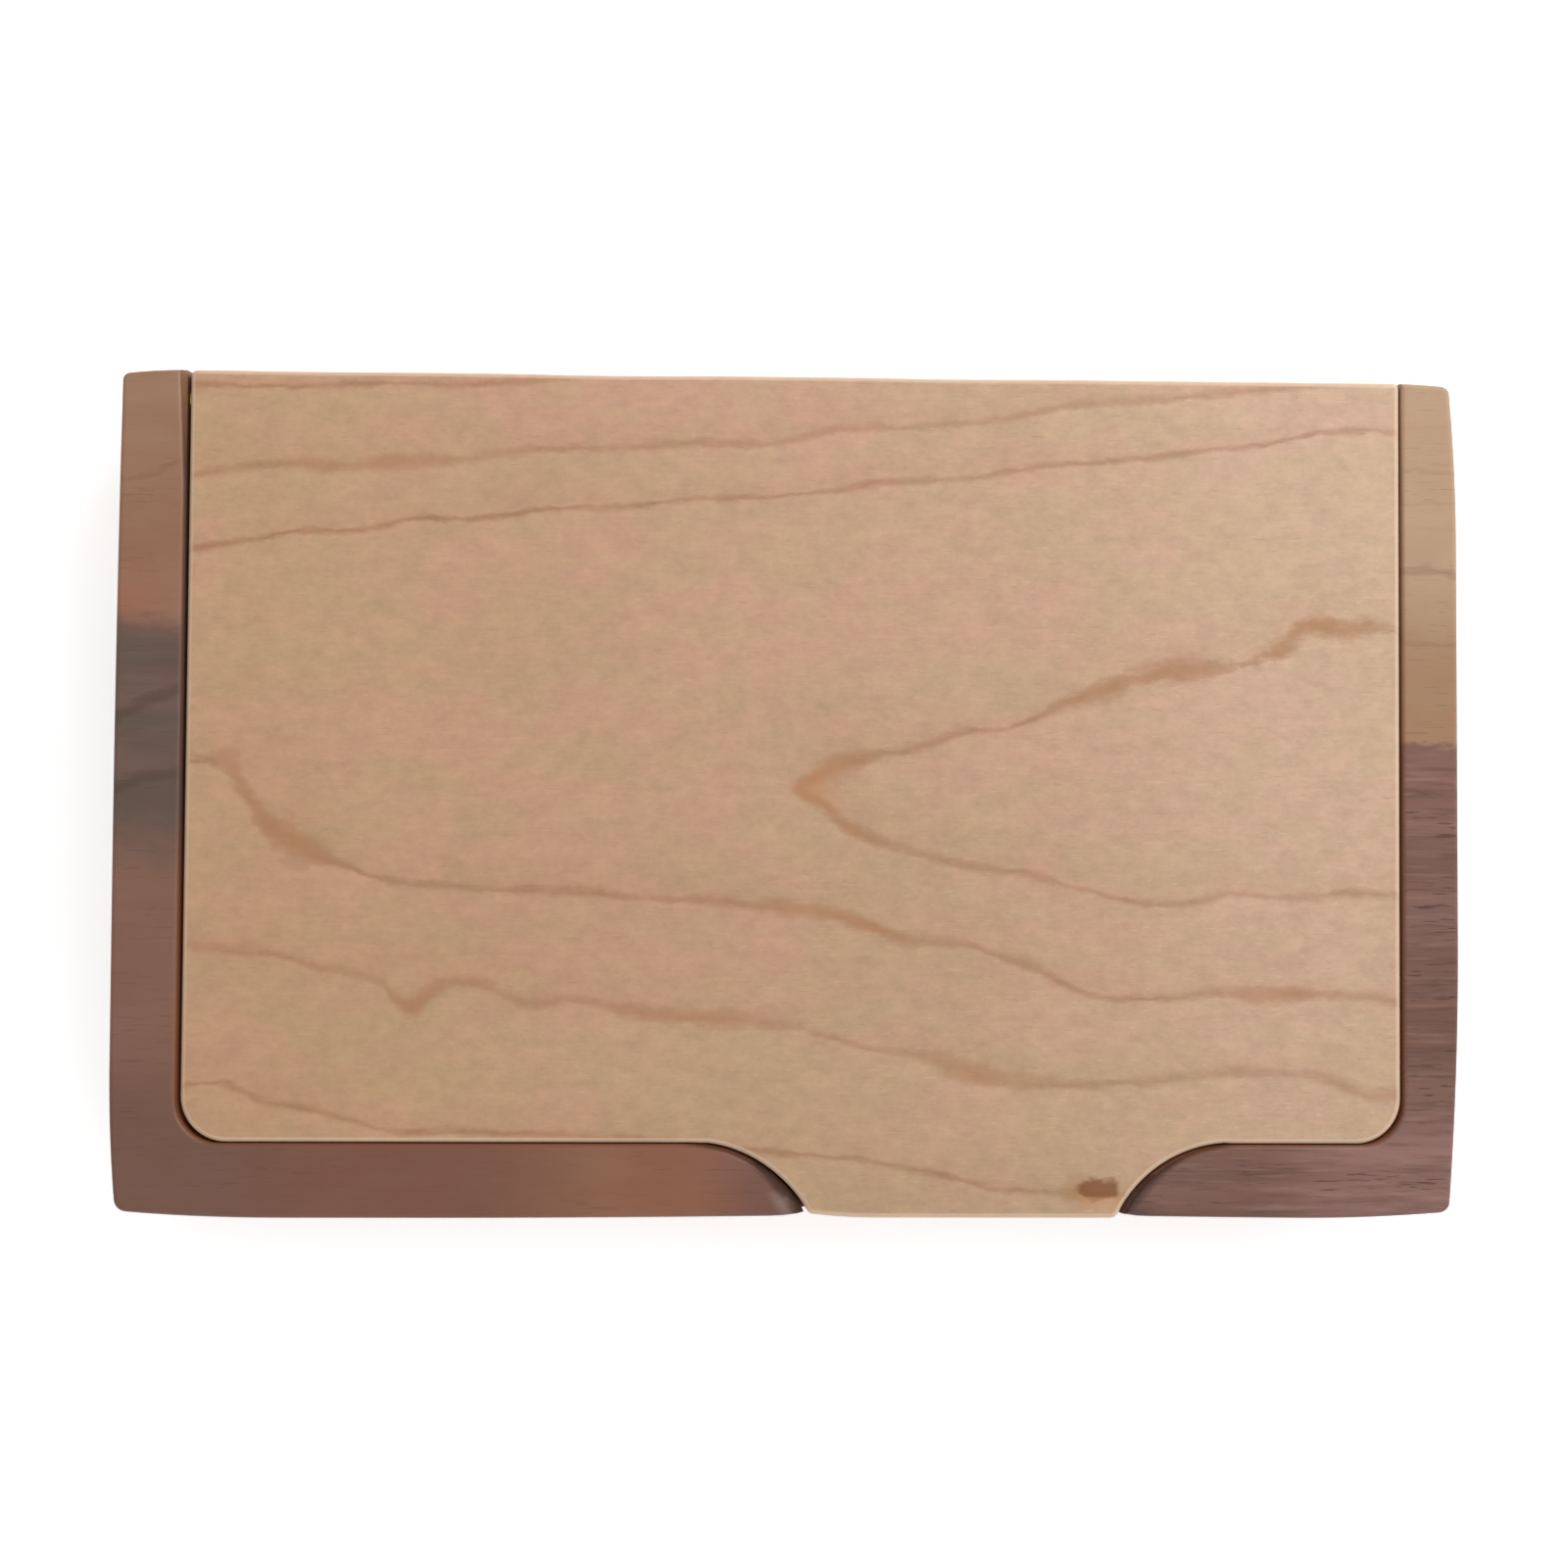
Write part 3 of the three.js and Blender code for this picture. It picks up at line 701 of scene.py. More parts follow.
# The heartwood's own patches: purple bands, a lighter rear half of the left rail, a red and a warm
# brown spot in the front rail, two lighter places on the right rail, and the grey zone.
purple_bands = walnut.cloud(at, (45, 4, 4), shift=5.2, detail=2)
red_spot = walnut.ease(walnut.off(x, RED_SPOT_X), 16.0, 6.0, 0.0, 0.8)
warm_spot = walnut.where((x, -24.0, -12.0), (x, -1.0, -8.0), (z, 6.0, 14.0, 0.2, 1.0))
grey_zone = walnut.where((behind, -19.5, -14.0), (x, -10.0, -44.0))
grey_bands = walnut.cloud(at, (26, 2.6, 2.6), shift=9.4, detail=3, rough=0.6)
heartwood = walnut.mix(rightness, HEART_LEFT, HEART_RIGHT)
for share, shade in (
    (walnut.where((purple_bands, 0.42, 0.72), (rightness, 0.2, 0.9, 0.25, 0.75)), HEART_PURPLE),
    (walnut.where((y, -25.0, -17.0), (x, -30.0, -40.0)), HEART_LIGHTER),
    (walnut.times(red_spot, walnut.ease(z, 6.0, 14.0, 0.35, 1.0)), HEART_RED),
    (walnut.times(warm_spot, 0.9), HEART_WARM),
    (walnut.where((behind, -9.0, -2.0), (x, 30.0, 40.0)), HEART_BY_SAP),
    (walnut.where((y, -22.0, -27.0), (x, 35.0, 43.0)), HEART_CORNER),
    (walnut.times(grey_zone, 0.7), HEART_BROWN),
    (walnut.times(grey_zone, walnut.ease(grey_bands, 0.36, 0.60, 0.50, 1.0)), HEART_GREY),
):
    heartwood = walnut.mix(share, heartwood, shade)
heartwood = walnut.tint(walnut.ease(walnut.off(x, BY_HORN_X), 9.0, 4.0), heartwood, HORN_STAIN)
broad_bands = walnut.cloud(at, (34, 1.7, 1.7), shift=3.7, detail=2)
band_shade = walnut.spread(broad_bands, 0.30, 0.70, 0.86, 1.14)
heartwood = walnut.tint(walnut.ease(rightness, 0.55, 0.85), heartwood, band_shade)
# The line between the two is softer on the left than on the right.
line_starts = walnut.ease(rightness, 0.0, 1.0, -1.7, -0.3)
line_ends = walnut.ease(rightness, 0.0, 1.0, 1.1, 0.3)
in_sap = walnut.ease(behind, line_starts, line_ends)
colour = walnut.mix(in_sap, heartwood, sapwood)

ragged_line = walnut.cloud(at, (3, 1.6, 1.6), shift=5.5, detail=3)
level = walnut.plus(
    y,
    walnut.spread(ragged_line, 0.2, 0.8, -0.5, 0.5),
    walnut.times(walnut.minus(z, TOP), 0.4),
)
growth = 0.0
for end, leaves_at, slant, half, depth in GROWTH_LINES:
    run = walnut.times(walnut.minus(x, end * RIGHT_END / MM), -end * slant)
    aside = walnut.off(walnut.minus(level, run), leaves_at)
    line = walnut.where((aside, half, half * 0.15), (x, end * 30.0, end * 40.0, 0.0, depth))
    growth = walnut.most(growth, line)
colour = walnut.tint(growth, colour, GROWTH_STAIN)

# The grain is most open in the heartwood on the right. The top was rubbed smooth; the sides and the
# milled inside show more of it.
streaks = walnut.cloud(at, (6.5, 0.52, 0.52), shift=2.2, detail=4, rough=0.65)
light_streaks = walnut.cloud(at, (5.5, 0.36, 0.36), shift=6.6, detail=3)
coarse = walnut.ease(walnut.times(rightness, walnut.minus(1.0, in_sap)), 0.50, 0.85, 0.08, 1.0)
coarse = walnut.most(coarse, walnut.ease(z, 14.4, 12.5, 0.0, 0.75))
streak_share = walnut.times(walnut.ease(streaks, 0.47, 0.70), coarse, 0.42)
colour = walnut.tint(streak_share, colour, STREAK_STAIN)
light_share = walnut.times(walnut.ease(light_streaks, 0.52, 0.72), coarse, 0.17)
colour = walnut.mix(light_share, colour, LIGHT_STREAK)

pore_field = walnut.cloud(at, (2.2, 0.16, 0.16), shift=4.4, detail=1.0)
pore_zones = walnut.cloud(at, (20, 1.6, 1.6), shift=7.9, detail=1)
pores = walnut.where((pore_field, 0.63, 0.71), (pore_zones, 0.35, 0.6, 0.25, 1.0))
pores = walnut.times(pores, walnut.ease(coarse, 0.1, 1.0, 0.3, 1.0))
colour = walnut.mix(walnut.times(pores, 0.6), colour, PORE)
fibres = walnut.cloud(at, (5, 0.09, 0.09), shift=0.6, detail=2)
darkest = walnut.ease(coarse, 0.0, 1.0, 0.988, 0.965)
lightest = walnut.ease(coarse, 0.0, 1.0, 1.012, 1.035)
colour = walnut.tint(1.0, colour, walnut.spread(fibres, 0.25, 0.75, darkest, lightest))
tone = walnut.cloud(at, (6, 3.2, 3.2), shift=1.1, detail=3, rough=0.55)
colour = walnut.tint(walnut.ease(tone, 0.35, 0.68, 0.0, 0.42), colour, TONE_STAIN)

# The rebate's eased mouth is painted a dark red-brown as painted shade of the gap beside the lid,
# least of all in the sapwood on the right.
right_share = walnut.ease(behind, -1.0, 1.0, 0.78, 0.35)
mouth_shade_share = walnut.times(
    walnut.ease(walnut.measure("rebate_mouth"), 0.10, 0.80),
    walnut.ease(x, 40.0, 47.0, 0.78, right_share),
    walnut.ease(y, -28.4, -27.4),
)
colour = walnut.mix(mouth_shade_share, colour, walnut.mix(grey_zone, MOUTH_SHADE, MOUTH_SHADE_GREY))


# Painted shade darkens the horns where their cut edges meet the gap, most of all on the left one, and
# a painted sheen lightens the left one's tip. Each horn is an arc about a centre in front of the case.
def horn_mark(side, at_tip, at_root, softness):
    """How near a place is to the cut edge of the left or right horn, strongest at its tip."""
    out = walnut.minus(x, (TAB_CENTRE + side * TAB_SPREAD) / MM)
    reach = walnut.distance(out, walnut.minus(y, HORN_ARC_Y))
    tipward = walnut.times(out, -side)
    starts = walnut.spread(walnut.ease(tipward, 2.5, 8.0), 0.0, 1.0, at_root, at_tip)
    near = walnut.ease(walnut.minus(reach, starts), -softness, 0.25)
    return walnut.times(near, walnut.where((tipward, -1.0, 1.5), (reach, 10.4, 10.1)), on_upper_part)


on_upper_part = walnut.ease(z, 10.6, 13.0)
# Painted shade along the left horn's cut edge.
left_horn_shade = walnut.times(horn_mark(-1, 8.90, 9.60, 0.32), 0.92)
colour = walnut.mix(left_horn_shade, colour, LEFT_HORN_SHADE)
# Painted shade along the right horn's cut edge and on its tip, where the front face is in shadow.
from_tip_y = walnut.times(walnut.minus(y, RIGHT_TIP_Y), 1.8)
from_right_tip = walnut.distance(walnut.minus(x, RIGHT_TIP_X), from_tip_y)
right_horn_shade = walnut.most(
    walnut.times(horn_mark(1, 8.95, 9.62, 0.40), 0.80),
    walnut.ease(from_right_tip, 4.0, 0.8, 0.0, 0.70),
)
colour = walnut.tint(walnut.times(right_horn_shade, on_upper_part), colour, RIGHT_HORN_SHADE)
# A painted sheen on the rounded tip of the left horn.
sheen_x, sheen_y = walnut.minus(x, SHEEN_SPOT_X), walnut.minus(y, SHEEN_SPOT_Y)
sheen_along = walnut.plus(sheen_x, walnut.times(sheen_y, 0.45))
from_sheen = walnut.plus(
    walnut.distance(sheen_along, walnut.times(sheen_y, 0.85)),
    walnut.spread(fray, 0.2, 0.8, -0.35, 0.35),
)
sheen_share = walnut.where((from_sheen, 1.05, 0.25, 0.0, 0.36), (z, 13.0, 14.3))
colour = walnut.mix(sheen_share, colour, PAINTED_SHEEN)

at_end = walnut.ease(walnut.measure("end_grain"), 0.25, 0.95, 0.0, 0.7)
colour = walnut.tint(at_end, colour, END_GRAIN_STAIN)
# The milled walls took less oil than the outside and are a raw red-brown, lighter towards the mouth:
# partly the raw wood's colour, partly painted light reaching into the gap.
wall_share = walnut.times(walnut.measure("milled_wall"), walnut.ease(z, 14.8, 14.2), 0.80)
raw_lit_edge = walnut.mix(grey_zone, RAW_LIT_TOP, RAW_GREY)
raw_and_lit_wall = walnut.mix(walnut.ease(z, 12.0, 14.0), RAW_LOW, raw_lit_edge)
colour = walnut.mix(wall_share, colour, raw_and_lit_wall)
polish = walnut.times(walnut.measure("eased_edge"), 0.12)
rough = walnut.minus(walnut.spread(pores, 0.0, 1.0, 0.48, 0.72), polish)
# Faint ridges left by the cutter's passes on the pocket's floor.
passes = walnut.reckon("SINE", walnut.times(y, 3.1))
on_floor = walnut.where((z, 2.2, 2.7), (z, 3.3, 2.9))
grain_height = walnut.minus(walnut.times(fibres, 0.25), pores)
walnut.relief(walnut.plus(grain_height, walnut.times(passes, on_floor, 0.22)), 0.05 * MM, 0.6)
walnut.give(
    base_color=colour,
    roughness=walnut.most(rough, walnut.times(left_horn_shade, 0.85)),
    specular_ior_level=0.3,
    subsurface_weight=0.15,
    subsurface_radius=(1.0, 0.30, 0.15),
    subsurface_scale=1.0 * MM,
)
mark_surface(body, end_grain, eased_edge, milled_wall, rebate_mouth)
walnut.put_on(body)

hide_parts("case_body")
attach(body, "case")

# The lid. A maple board that drops into the rebate with a narrow gap. Its tongue runs out to the
# front face, and the lower edge of its rear end is rounded about the hinge so that it can turn.
LID_BOTTOM = 11 * MM
LID_CORNER = 3.5 * MM
LID_EDGE_ROUND = 0.48 * MM
LID_FULLNESS = 0.26 * MM
LEFT_SETBACK = 0.28 * MM
RIGHT_REAR_FULLNESS = 0.08 * MM
REAR_ROUND = 2 * MM
LID_BORE = 0.88 * MM
LID_BORE_END = 39.1 * MM
# The tongue's front edge: how far it stands back from the case's face, how far its left corner has
# fallen and from how far off, and the rounding of its left and right corners.
TAB_FRONT = FRONT_FACE + 0.05 * MM
TAB_FALL, TAB_FALL_REACH = 0.32 * MM, 5 * MM
TAB_LEFT_ROUND, TAB_RIGHT_ROUND = 0.22 * MM, 0.4 * MM
# Sanded by hand to its place: the two front edges beside the tongue aren't quite square, and the rear
# edge is a little wavy. Each wave: its place along the edge, its depth and its reach.
RIGHT_FRONT_FULLNESS, LEFT_FRONT_FULLNESS = 0.06 * MM, 0.07 * MM
FRONT_CORNERS_END = FRONT_FACE + FRONT_RAIL + LID_GAP + 4 * MM
REAR_CORNERS_START = 30 * MM
REAR_WAVES = (
    (-36 * MM, 0.03 * MM, 9 * MM),
    (-14 * MM, 0.07 * MM, 10 * MM),
    (12 * MM, 0.05 * MM, 9 * MM),
)

lid = tongue_board("maple_lid", LID_BOTTOM, LID_FULLNESS, LID_CORNER, 14)
take("VERT", lambda m, v: m.y > REAR_FACE)
slide(y=-LID_FULLNESS)
bpy.ops.mesh.select_all(action="SELECT")
bpy.ops.mesh.bisect(plane_co=(0, TAB_FRONT, 0), plane_no=(0, 1, 0), clear_inner=True, use_fill=False)
take("EDGE", lambda m, e: lies_along(e, 0) and m.y < TAB_FRONT + NEARLY)
bpy.ops.mesh.subdivide(number_cuts=28)
# The last point of each arc lies too near the tongue's corner for it to be rounded, so it goes.
take("VERT", lambda m, v: TAB_FRONT + NEARLY < m.y < TAB_FRONT + 0.3 * MM)
bpy.ops.mesh.dissolve_verts()
front_points = [v.co.x for v in bmesh.from_edit_mesh(lid.data).verts if v.co.y < TAB_FRONT + NEARLY]
corner_left, corner_right = min(front_points), max(front_points)
take("VERT", lambda m, v: m.y < TAB_FRONT + NEARLY and abs(m.x - corner_left) < NEARLY)
draw_out(y=TAB_FALL, reach=TAB_FALL_REACH)
for corner, rounding in ((corner_left, TAB_LEFT_ROUND), (corner_right, TAB_RIGHT_ROUND)):
    take("VERT", lambda m, v: m.y < TAB_FRONT + 1 * MM and abs(m.x - corner) < NEARLY)
    round_corners(rounding, 5)
take("VERT", lambda m, v: m.x > TAB_CENTRE + TAB_SPREAD and m.y < FRONT_CORNERS_END)
slide(y=-RIGHT_FRONT_FULLNESS)
take("VERT", lambda m, v: m.x < TAB_CENTRE - TAB_SPREAD + 1 * MM and m.y < FRONT_CORNERS_END)
slide(y=-LEFT_FRONT_FULLNESS)
take("VERT", lambda m, v: m.x < LEFT_SIDE)
slide(x=LEFT_SETBACK)
take("VERT", lambda m, v: m.x < LEFT_SIDE and m.y > REAR_CORNERS_START)
slide(x=LEFT_SLANT)
take("VERT", lambda m, v: m.x > -LEFT_SIDE and m.y > REAR_CORNERS_START)
slide(x=RIGHT_REAR_FULLNESS)
take("EDGE", lambda m, e: lies_along(e, 0) and m.y > REAR_FACE - NEARLY)
bpy.ops.mesh.subdivide(number_cuts=63)
for spot, depth, reach in REAR_WAVES:
    take("VERT", lambda m, v: m.y > REAR_FACE - 0.01 * MM and abs(m.x - spot) < 1 * MM)
    draw_out(y=-depth, falloff="SMOOTH", reach=reach)
raise_flat(CASE_HEIGHT - LID_BOTTOM)
rear_line = lambda m, e: lies_along(e, 0) and m.y > REAR_FACE - 0.2 * MM
take("EDGE", lambda m, e: rear_line(m, e) and m.z < LID_BOTTOM + NEARLY)
round_edges(REAR_ROUND, 14)
take("EDGE", lambda m, e: e.is_manifold and e.is_convex and e.calc_face_angle() > math.radians(35))
round_edges(LID_EDGE_ROUND, 4)
bpy.ops.object.mode_set(mode="OBJECT")

lid_left = LEFT_END + LEFT_RAIL + LID_GAP - LID_FULLNESS + LEFT_SETBACK + LEFT_SLANT
lid_right = RIGHT_END - RIGHT_RAIL - LID_GAP + LID_FULLNESS + RIGHT_REAR_FULLNESS
for end in (lid_left, lid_right):
    depth = math.copysign(abs(end) - LID_BORE_END, -end)
    cut_away(lid, drill("bore_drill", LID_BORE, (end, HINGE_Y, HINGE_Z), depth, "x", PIN_HOLE_EASE))
for spot in MAGNET_SPOTS:
    mouth = (spot, MAGNET_Y, LID_BOTTOM)
    cut_away(lid, drill("lid_socket_drill", MAGNET_SOCKET, mouth, SOCKET_DEPTH, "z", SOCKET_EASE))
finish_edges(lid)

# Oiled maple, sawn from near the side of the log: thin brown ring lines, one of which doubles back in
# a pointed arch on the right, over a ground that goes from tan on the left to pale on the right,
# partly the wood's own colour and partly painted light from the lamp on the right.
# Each line is drawn through a few places on the top face, in millimetres along and across.
RING_LINES = {
    "rear_edge": [
        (-46, 31.2), (-39, 31.0), (-31, 31.3), (-25, 31.3), (-18, 31.8), (-8, 32.6), (46, 33.0),
    ],
    "upper": [
        (-46, 24.0), (-42, 24.8), (-37.5, 25.1), (-34, 24.9), (-30.5, 25.3), (-25.5, 25.5),
        (-20.5, 26.3), (-13.5, 26.5), (-6.5, 27.0), (-0.5, 27.1), (3, 28.0), (10, 28.4), (17, 29.2),
        (21, 30.1), (27, 30.6), (34, 31.3), (39, 31.8), (46, 32.4),
    ],
    "second": [
        (-46, 18.5), (-42.5, 19.0), (-37.5, 19.9), (-33, 20.0), (-29, 20.9), (-24, 21.0),
        (-18.5, 21.8), (-13.5, 22.0), (-8, 22.6), (-0.5, 23.0), (3, 23.4), (8, 24.2), (13, 24.4),
        (20, 25.5), (27, 26.1), (30.5, 26.6), (38, 27.6), (41, 28.3), (46, 28.4),
    ],
    "arch_rear": [
        (0.5, 0.6), (3, 2.0), (6, 3.0), (9, 3.5), (13.5, 4.9), (17, 5.3), (19, 6.2), (21, 7.2),
        (24, 8.3), (27, 9.2), (31, 9.7), (34, 10.1), (37.5, 11.4), (39.8, 13.2), (41, 13.3),
        (43, 12.8), (44.5, 13.2), (46, 13.1),
    ],
    "arch_front": [
        (0.5, 0.2), (2.5, -0.7), (4, -2.2), (6.5, -3.4), (10, -4.5), (13.5, -5.3), (18.5, -6.0),
        (22, -7.0), (25.5, -7.9), (30, -8.2), (34, -7.4), (38, -7.7), (43, -7.3), (46, -7.4),
    ],
    "middle": [
        (-46, 2.3), (-43.4, 2.2), (-42.2, 1.2), (-41.6, 0.0), (-40.5, -1.5), (-38.8, -3.1),
        (-35.4, -5.0), (-33, -6.0), (-30, -6.8), (-27, -7.0), (-23.5, -7.3), (-16.5, -7.4),
        (-11.5, -8.0), (-6, -8.2), (-0.5, -8.6), (3, -9.1), (6.5, -10.2), (10, -11.2), (13.5, -11.4),
        (15, -11.9), (18.5, -13.0), (21, -14.4), (23, -15.2), (29, -15.4), (32.5, -15.0), (36, -15.2),
        (41, -15.1), (46, -15.5),
    ],
    "lower": [
        (-46, -11.6), (-42, -12.1), (-38.5, -12.5), (-36, -13.3), (-33.5, -13.8), (-31.2, -14.3),
        (-30.1, -15.5), (-28.7, -16.3), (-27.6, -15.5), (-26, -14.5), (-23.3, -14.6), (-21.5, -15.5),
        (-20, -16.0), (-16.5, -15.7), (-13, -16.4), (-8, -17.0), (-0.5, -17.6), (3, -18.5),
        (6.5, -19.4), (10, -19.9), (13.5, -21.1), (17, -21.8), (27, -21.8), (32.5, -21.2), (37, -21.1),
        (40.5, -21.4), (43, -22.3), (44.7, -22.9), (46, -22.8),
    ],
    "front_edge": [
        (-46, -22.2), (-42.5, -22.2), (-40, -23.4), (-36.5, -24.0), (-33.5, -24.8), (-30.5, -25.6),
        (-25, -25.7), (-12, -26.2), (2, -27.5), (5, -27.7), (9.5, -28.5), (13.5, -29.4), (15.5, -30.0),
        (18.5, -30.1), (22, -30.3), (30, -30.6), (46, -31.5),
    ],
}
# Depth of colour, then the reach of the shade behind and in front of the line, and where it starts
# and ends along the board.
RING_MANNERS = {
    "rear_edge": (0.85, 0.35, 0.35, -50, -20),
    "upper": (0.62, 0.60, 0.50, -50, 42),
    "second": (0.88, 0.38, 0.38, -50, 50),
    "arch_rear": (0.80, 0.50, 0.50, 0.2, 50),
    "arch_front": (0.75, 0.48, 0.52, 0.2, 50),
    "middle": (0.74, 0.65, 0.52, -50, 50),
    "lower": (0.62, 0.75, 0.55, -50, 50),
    "front_edge": (0.80, 0.45, 0.42, -50, 50),
}
# Places where a line swells and turns orange-brown: how far along the board, how far the swelling
# reaches each way, and how much wider it makes the line.
SWELLINGS = {
    "rear_edge": [],
    "upper": [(-33, 7, 0.5)],
    "second": [],
    "arch_rear": [(27, 9, 1.6), (3, 4.5, 1.6), (41, 7, 1.5)],
    "arch_front": [(3, 5, 1.5)],
    "middle": [(-39.2, 5.5, 2.6), (37, 4, 0.9), (4, 9, 0.5)],
    "lower": [(-28.5, 3, 1.0), (15, 6, 1.1), (-8, 7, 0.4)],
    "front_edge": [(22, 1.6, 1.7)],
}

# Left and right colours of the ground; the paler right is partly painted light.
TAN_LEFT, TAN_RIGHT = (0.432, 0.276, 0.158, 1), (0.497, 0.350, 0.231, 1)
ROSY_LEFT, ROSY_RIGHT = (0.462, 0.270, 0.168, 1), (0.524, 0.344, 0.244, 1)
FRONT_LEFT, FRONT_MIDDLE = (0.985, 0.970, 0.925, 1), (0.938, 0.920, 0.870, 1)
FRONT_RIGHT, REAR_LIGHTER = (0.958, 0.945, 0.915, 1), (1.075, 1.075, 1.085, 1)
CENTRAL_STAIN, SHADE_STAIN = (0.980, 0.952, 0.955, 1), (0.72, 0.52, 0.44, 1)
FLECK, DASH = (0.70, 0.54, 0.41, 1), (0.27, 0.155, 0.085, 1)
RING_STAIN, SWELLING_BROWN = (0.74, 0.625, 0.545, 1), (0.385, 0.185, 0.080, 1)
ARCH_TIP, KNOT_HALO, KNOT = (0.44, 0.195, 0.080, 1), (0.50, 0.245, 0.115, 1), (0.200, 0.072, 0.024, 1)
# The second colour here is a painted highlight for the eased edges.
MAPLE_END_STAIN, MAPLE_EDGE_HIGHLIGHT = (0.74, 0.68, 0.62, 1), (0.80, 0.62, 0.47, 1)
# The lines are drawn within these distances of the middle. The knot-fleck lies at its place along and
# across the board, and its outline frays by the last number.
LINES_X, LINES_Y = 52.0, 34.0
KNOT_ALONG, KNOT_ACROSS, KNOT_FRAY = 23.9, -30.0, 0.28

maple = Finish("oiled_maple")
at = maple.place()
x, y, z = maple.parts(at)
# The rings lean through the board, so a line comes out further back on the underside.
below = maple.minus(TOP, z)
depth_squared = maple.reckon("POWER", maple.most(below, 0.0), 2.0)
across = maple.plus(y, maple.plus(maple.times(below, 1.3), maple.times(depth_squared, 0.22)))
along = maple.plus(x, maple.times(below, 0.8))
# The lines are ragged, most of all in the rear leg of the arch and at the left bend.
ragged = maple.cloud(at, (1.8, 0.9, 0.9), shift=2.5, detail=4, rough=0.7)
in_arch = maple.where((x, 18.0, 32.0, 0.0, 0.38), (y, 2.0, 5.0), (y, 19.0, 15.0))
at_left_bend = maple.where((x, -33.0, -37.0), (y, -11.0, -8.0), (y, 6.0, 3.5))
raggedness = maple.plus(in_arch, 0.26, maple.times(at_left_bend, 0.30))
across = maple.plus(across, maple.times(raggedness, maple.spread(ragged, 0.2, 0.8, -1.0, 1.0)))
strength_noise = maple.cloud(at, (5, 3, 3), shift=6.1, detail=2)
width_noise = maple.cloud(at, (3.4, 2.5, 2.5), shift=9.7, detail=2)

darkness, brownness, shade = 0.0, 0.0, 0.0
behind_line = {}
for name, points in RING_LINES.items():
    depth, rear_reach, front_reach, start, end = RING_MANNERS[name]
    course = maple.curve(along, -LINES_X, LINES_X, points, -LINES_Y, LINES_Y)
    behind_line[name] = maple.minus(across, course)
    swell, brown = 1.0, 0.0
    for spot, reach, gain in SWELLINGS[name]:
        near = maple.ease(maple.off(along, spot), reach, reach * 0.25)
        swell = maple.plus(swell, maple.times(near, gain))
        brown = maple.most(brown, near)
    width = maple.times(maple.ease(width_noise, 0.25, 0.75, 0.6, 1.5), swell)
    aside = maple.reckon("DIVIDE", behind_line[name], width)
    ends = maple.where((along, start - 0.6, start + 0.6), (along, end + 8.0, end - 4.0))
    mark = maple.times(
        maple.ease(aside, rear_reach, 0.0),
        maple.ease(aside, -front_reach, 0.0),
        ends,
        maple.ease(strength_noise, 0.25, 0.7, depth * 0.55, depth),
    )
    darkness = maple.most(darkness, mark)
    brownness = maple.most(brownness, maple.times(mark, brown))
    shade = maple.most(shade, maple.times(maple.where((aside, 3.2, 0.2), (aside, -0.6, 0.0)), ends))

# The ground: tan and rosy blots, paler to the right partly as painted light, with a fine mottle.
to_right = maple.spread(x, -40.0, 44.0)
blots = maple.cloud(at, (15, 8, 8), shift=1.2, detail=3, swirl=0.6)
small_blots = maple.cloud(at, (4.5, 2.4, 2.4), shift=8.8, detail=3, rough=0.6)
rosiness = maple.plus(
    maple.ease(blots, 0.38, 0.60, 0.0, 0.65),
    maple.ease(small_blots, 0.36, 0.62, -0.25, 0.45),
)
tan, rosy = maple.mix(to_right, TAN_LEFT, TAN_RIGHT), maple.mix(to_right, ROSY_LEFT, ROSY_RIGHT)
mottle = maple.cloud(at, (1.5, 1.05, 1.05), shift=3.3, detail=5, rough=0.72)
darkest = maple.ease(to_right, 0.0, 1.0, 0.875, 0.865)
lightest = maple.ease(to_right, 0.0, 1.0, 1.125, 1.135)
# The board is darker towards the front and lighter towards the rear.
front_tone = maple.mix(maple.ease(x, -35.0, 10.0), FRONT_LEFT, FRONT_MIDDLE)
front_tone = maple.mix(maple.ease(x, 12.0, 40.0), front_tone, FRONT_RIGHT)
fibres = maple.cloud(at, (3.5, 0.12, 0.12), shift=0.4, detail=3)
ground = maple.mix(rosiness, tan, rosy)
for share, stain in (
    (1.0, maple.spread(mottle, 0.25, 0.75, darkest, lightest)),
    (1.0, maple.mix(maple.spread(y, -26.0, 30.0), front_tone, REAR_LIGHTER)),
    (1.0, maple.ease(y, -32.0, -26.0, 0.945, 1.0)),
    (maple.where((maple.off(x, 0.0), 36.0, 20.0), (y, -20.0, -12.0)), CENTRAL_STAIN),
    (1.0, maple.spread(fibres, 0.25, 0.75, 0.975, 1.025)),
    (maple.times(shade, 0.10), SHADE_STAIN),
):
    ground = maple.tint(share, ground, stain)
fleck_field = maple.cloud(at, (1.1, 0.16, 0.16), shift=7.7, detail=1)
flecks = maple.where((fleck_field, 0.66, 0.74), (to_right, 0.0, 1.0, 0.05, 0.20))
ground = maple.mix(flecks, ground, FLECK)
dash_field = maple.cloud(at, (1.6, 0.13, 0.13), shift=5.9, detail=1)
ground = maple.mix(maple.times(maple.ease(dash_field, 0.67, 0.75), 0.28), ground, DASH)

colour = maple.tint(darkness, ground, RING_STAIN)
colour = maple.mix(maple.times(brownness, 0.70), colour, SWELLING_BROWN)
# The two lines of the arch run together in its orange-brown tip.
tip = maple.where(
    (behind_line["arch_rear"], 0.45, 0.0),
    (behind_line["arch_front"], -0.45, 0.0),
    (along, 0.0, 0.8),
    (along, 4.6, 1.2),
)
colour = maple.mix(maple.times(tip, 0.55), colour, ARCH_TIP)
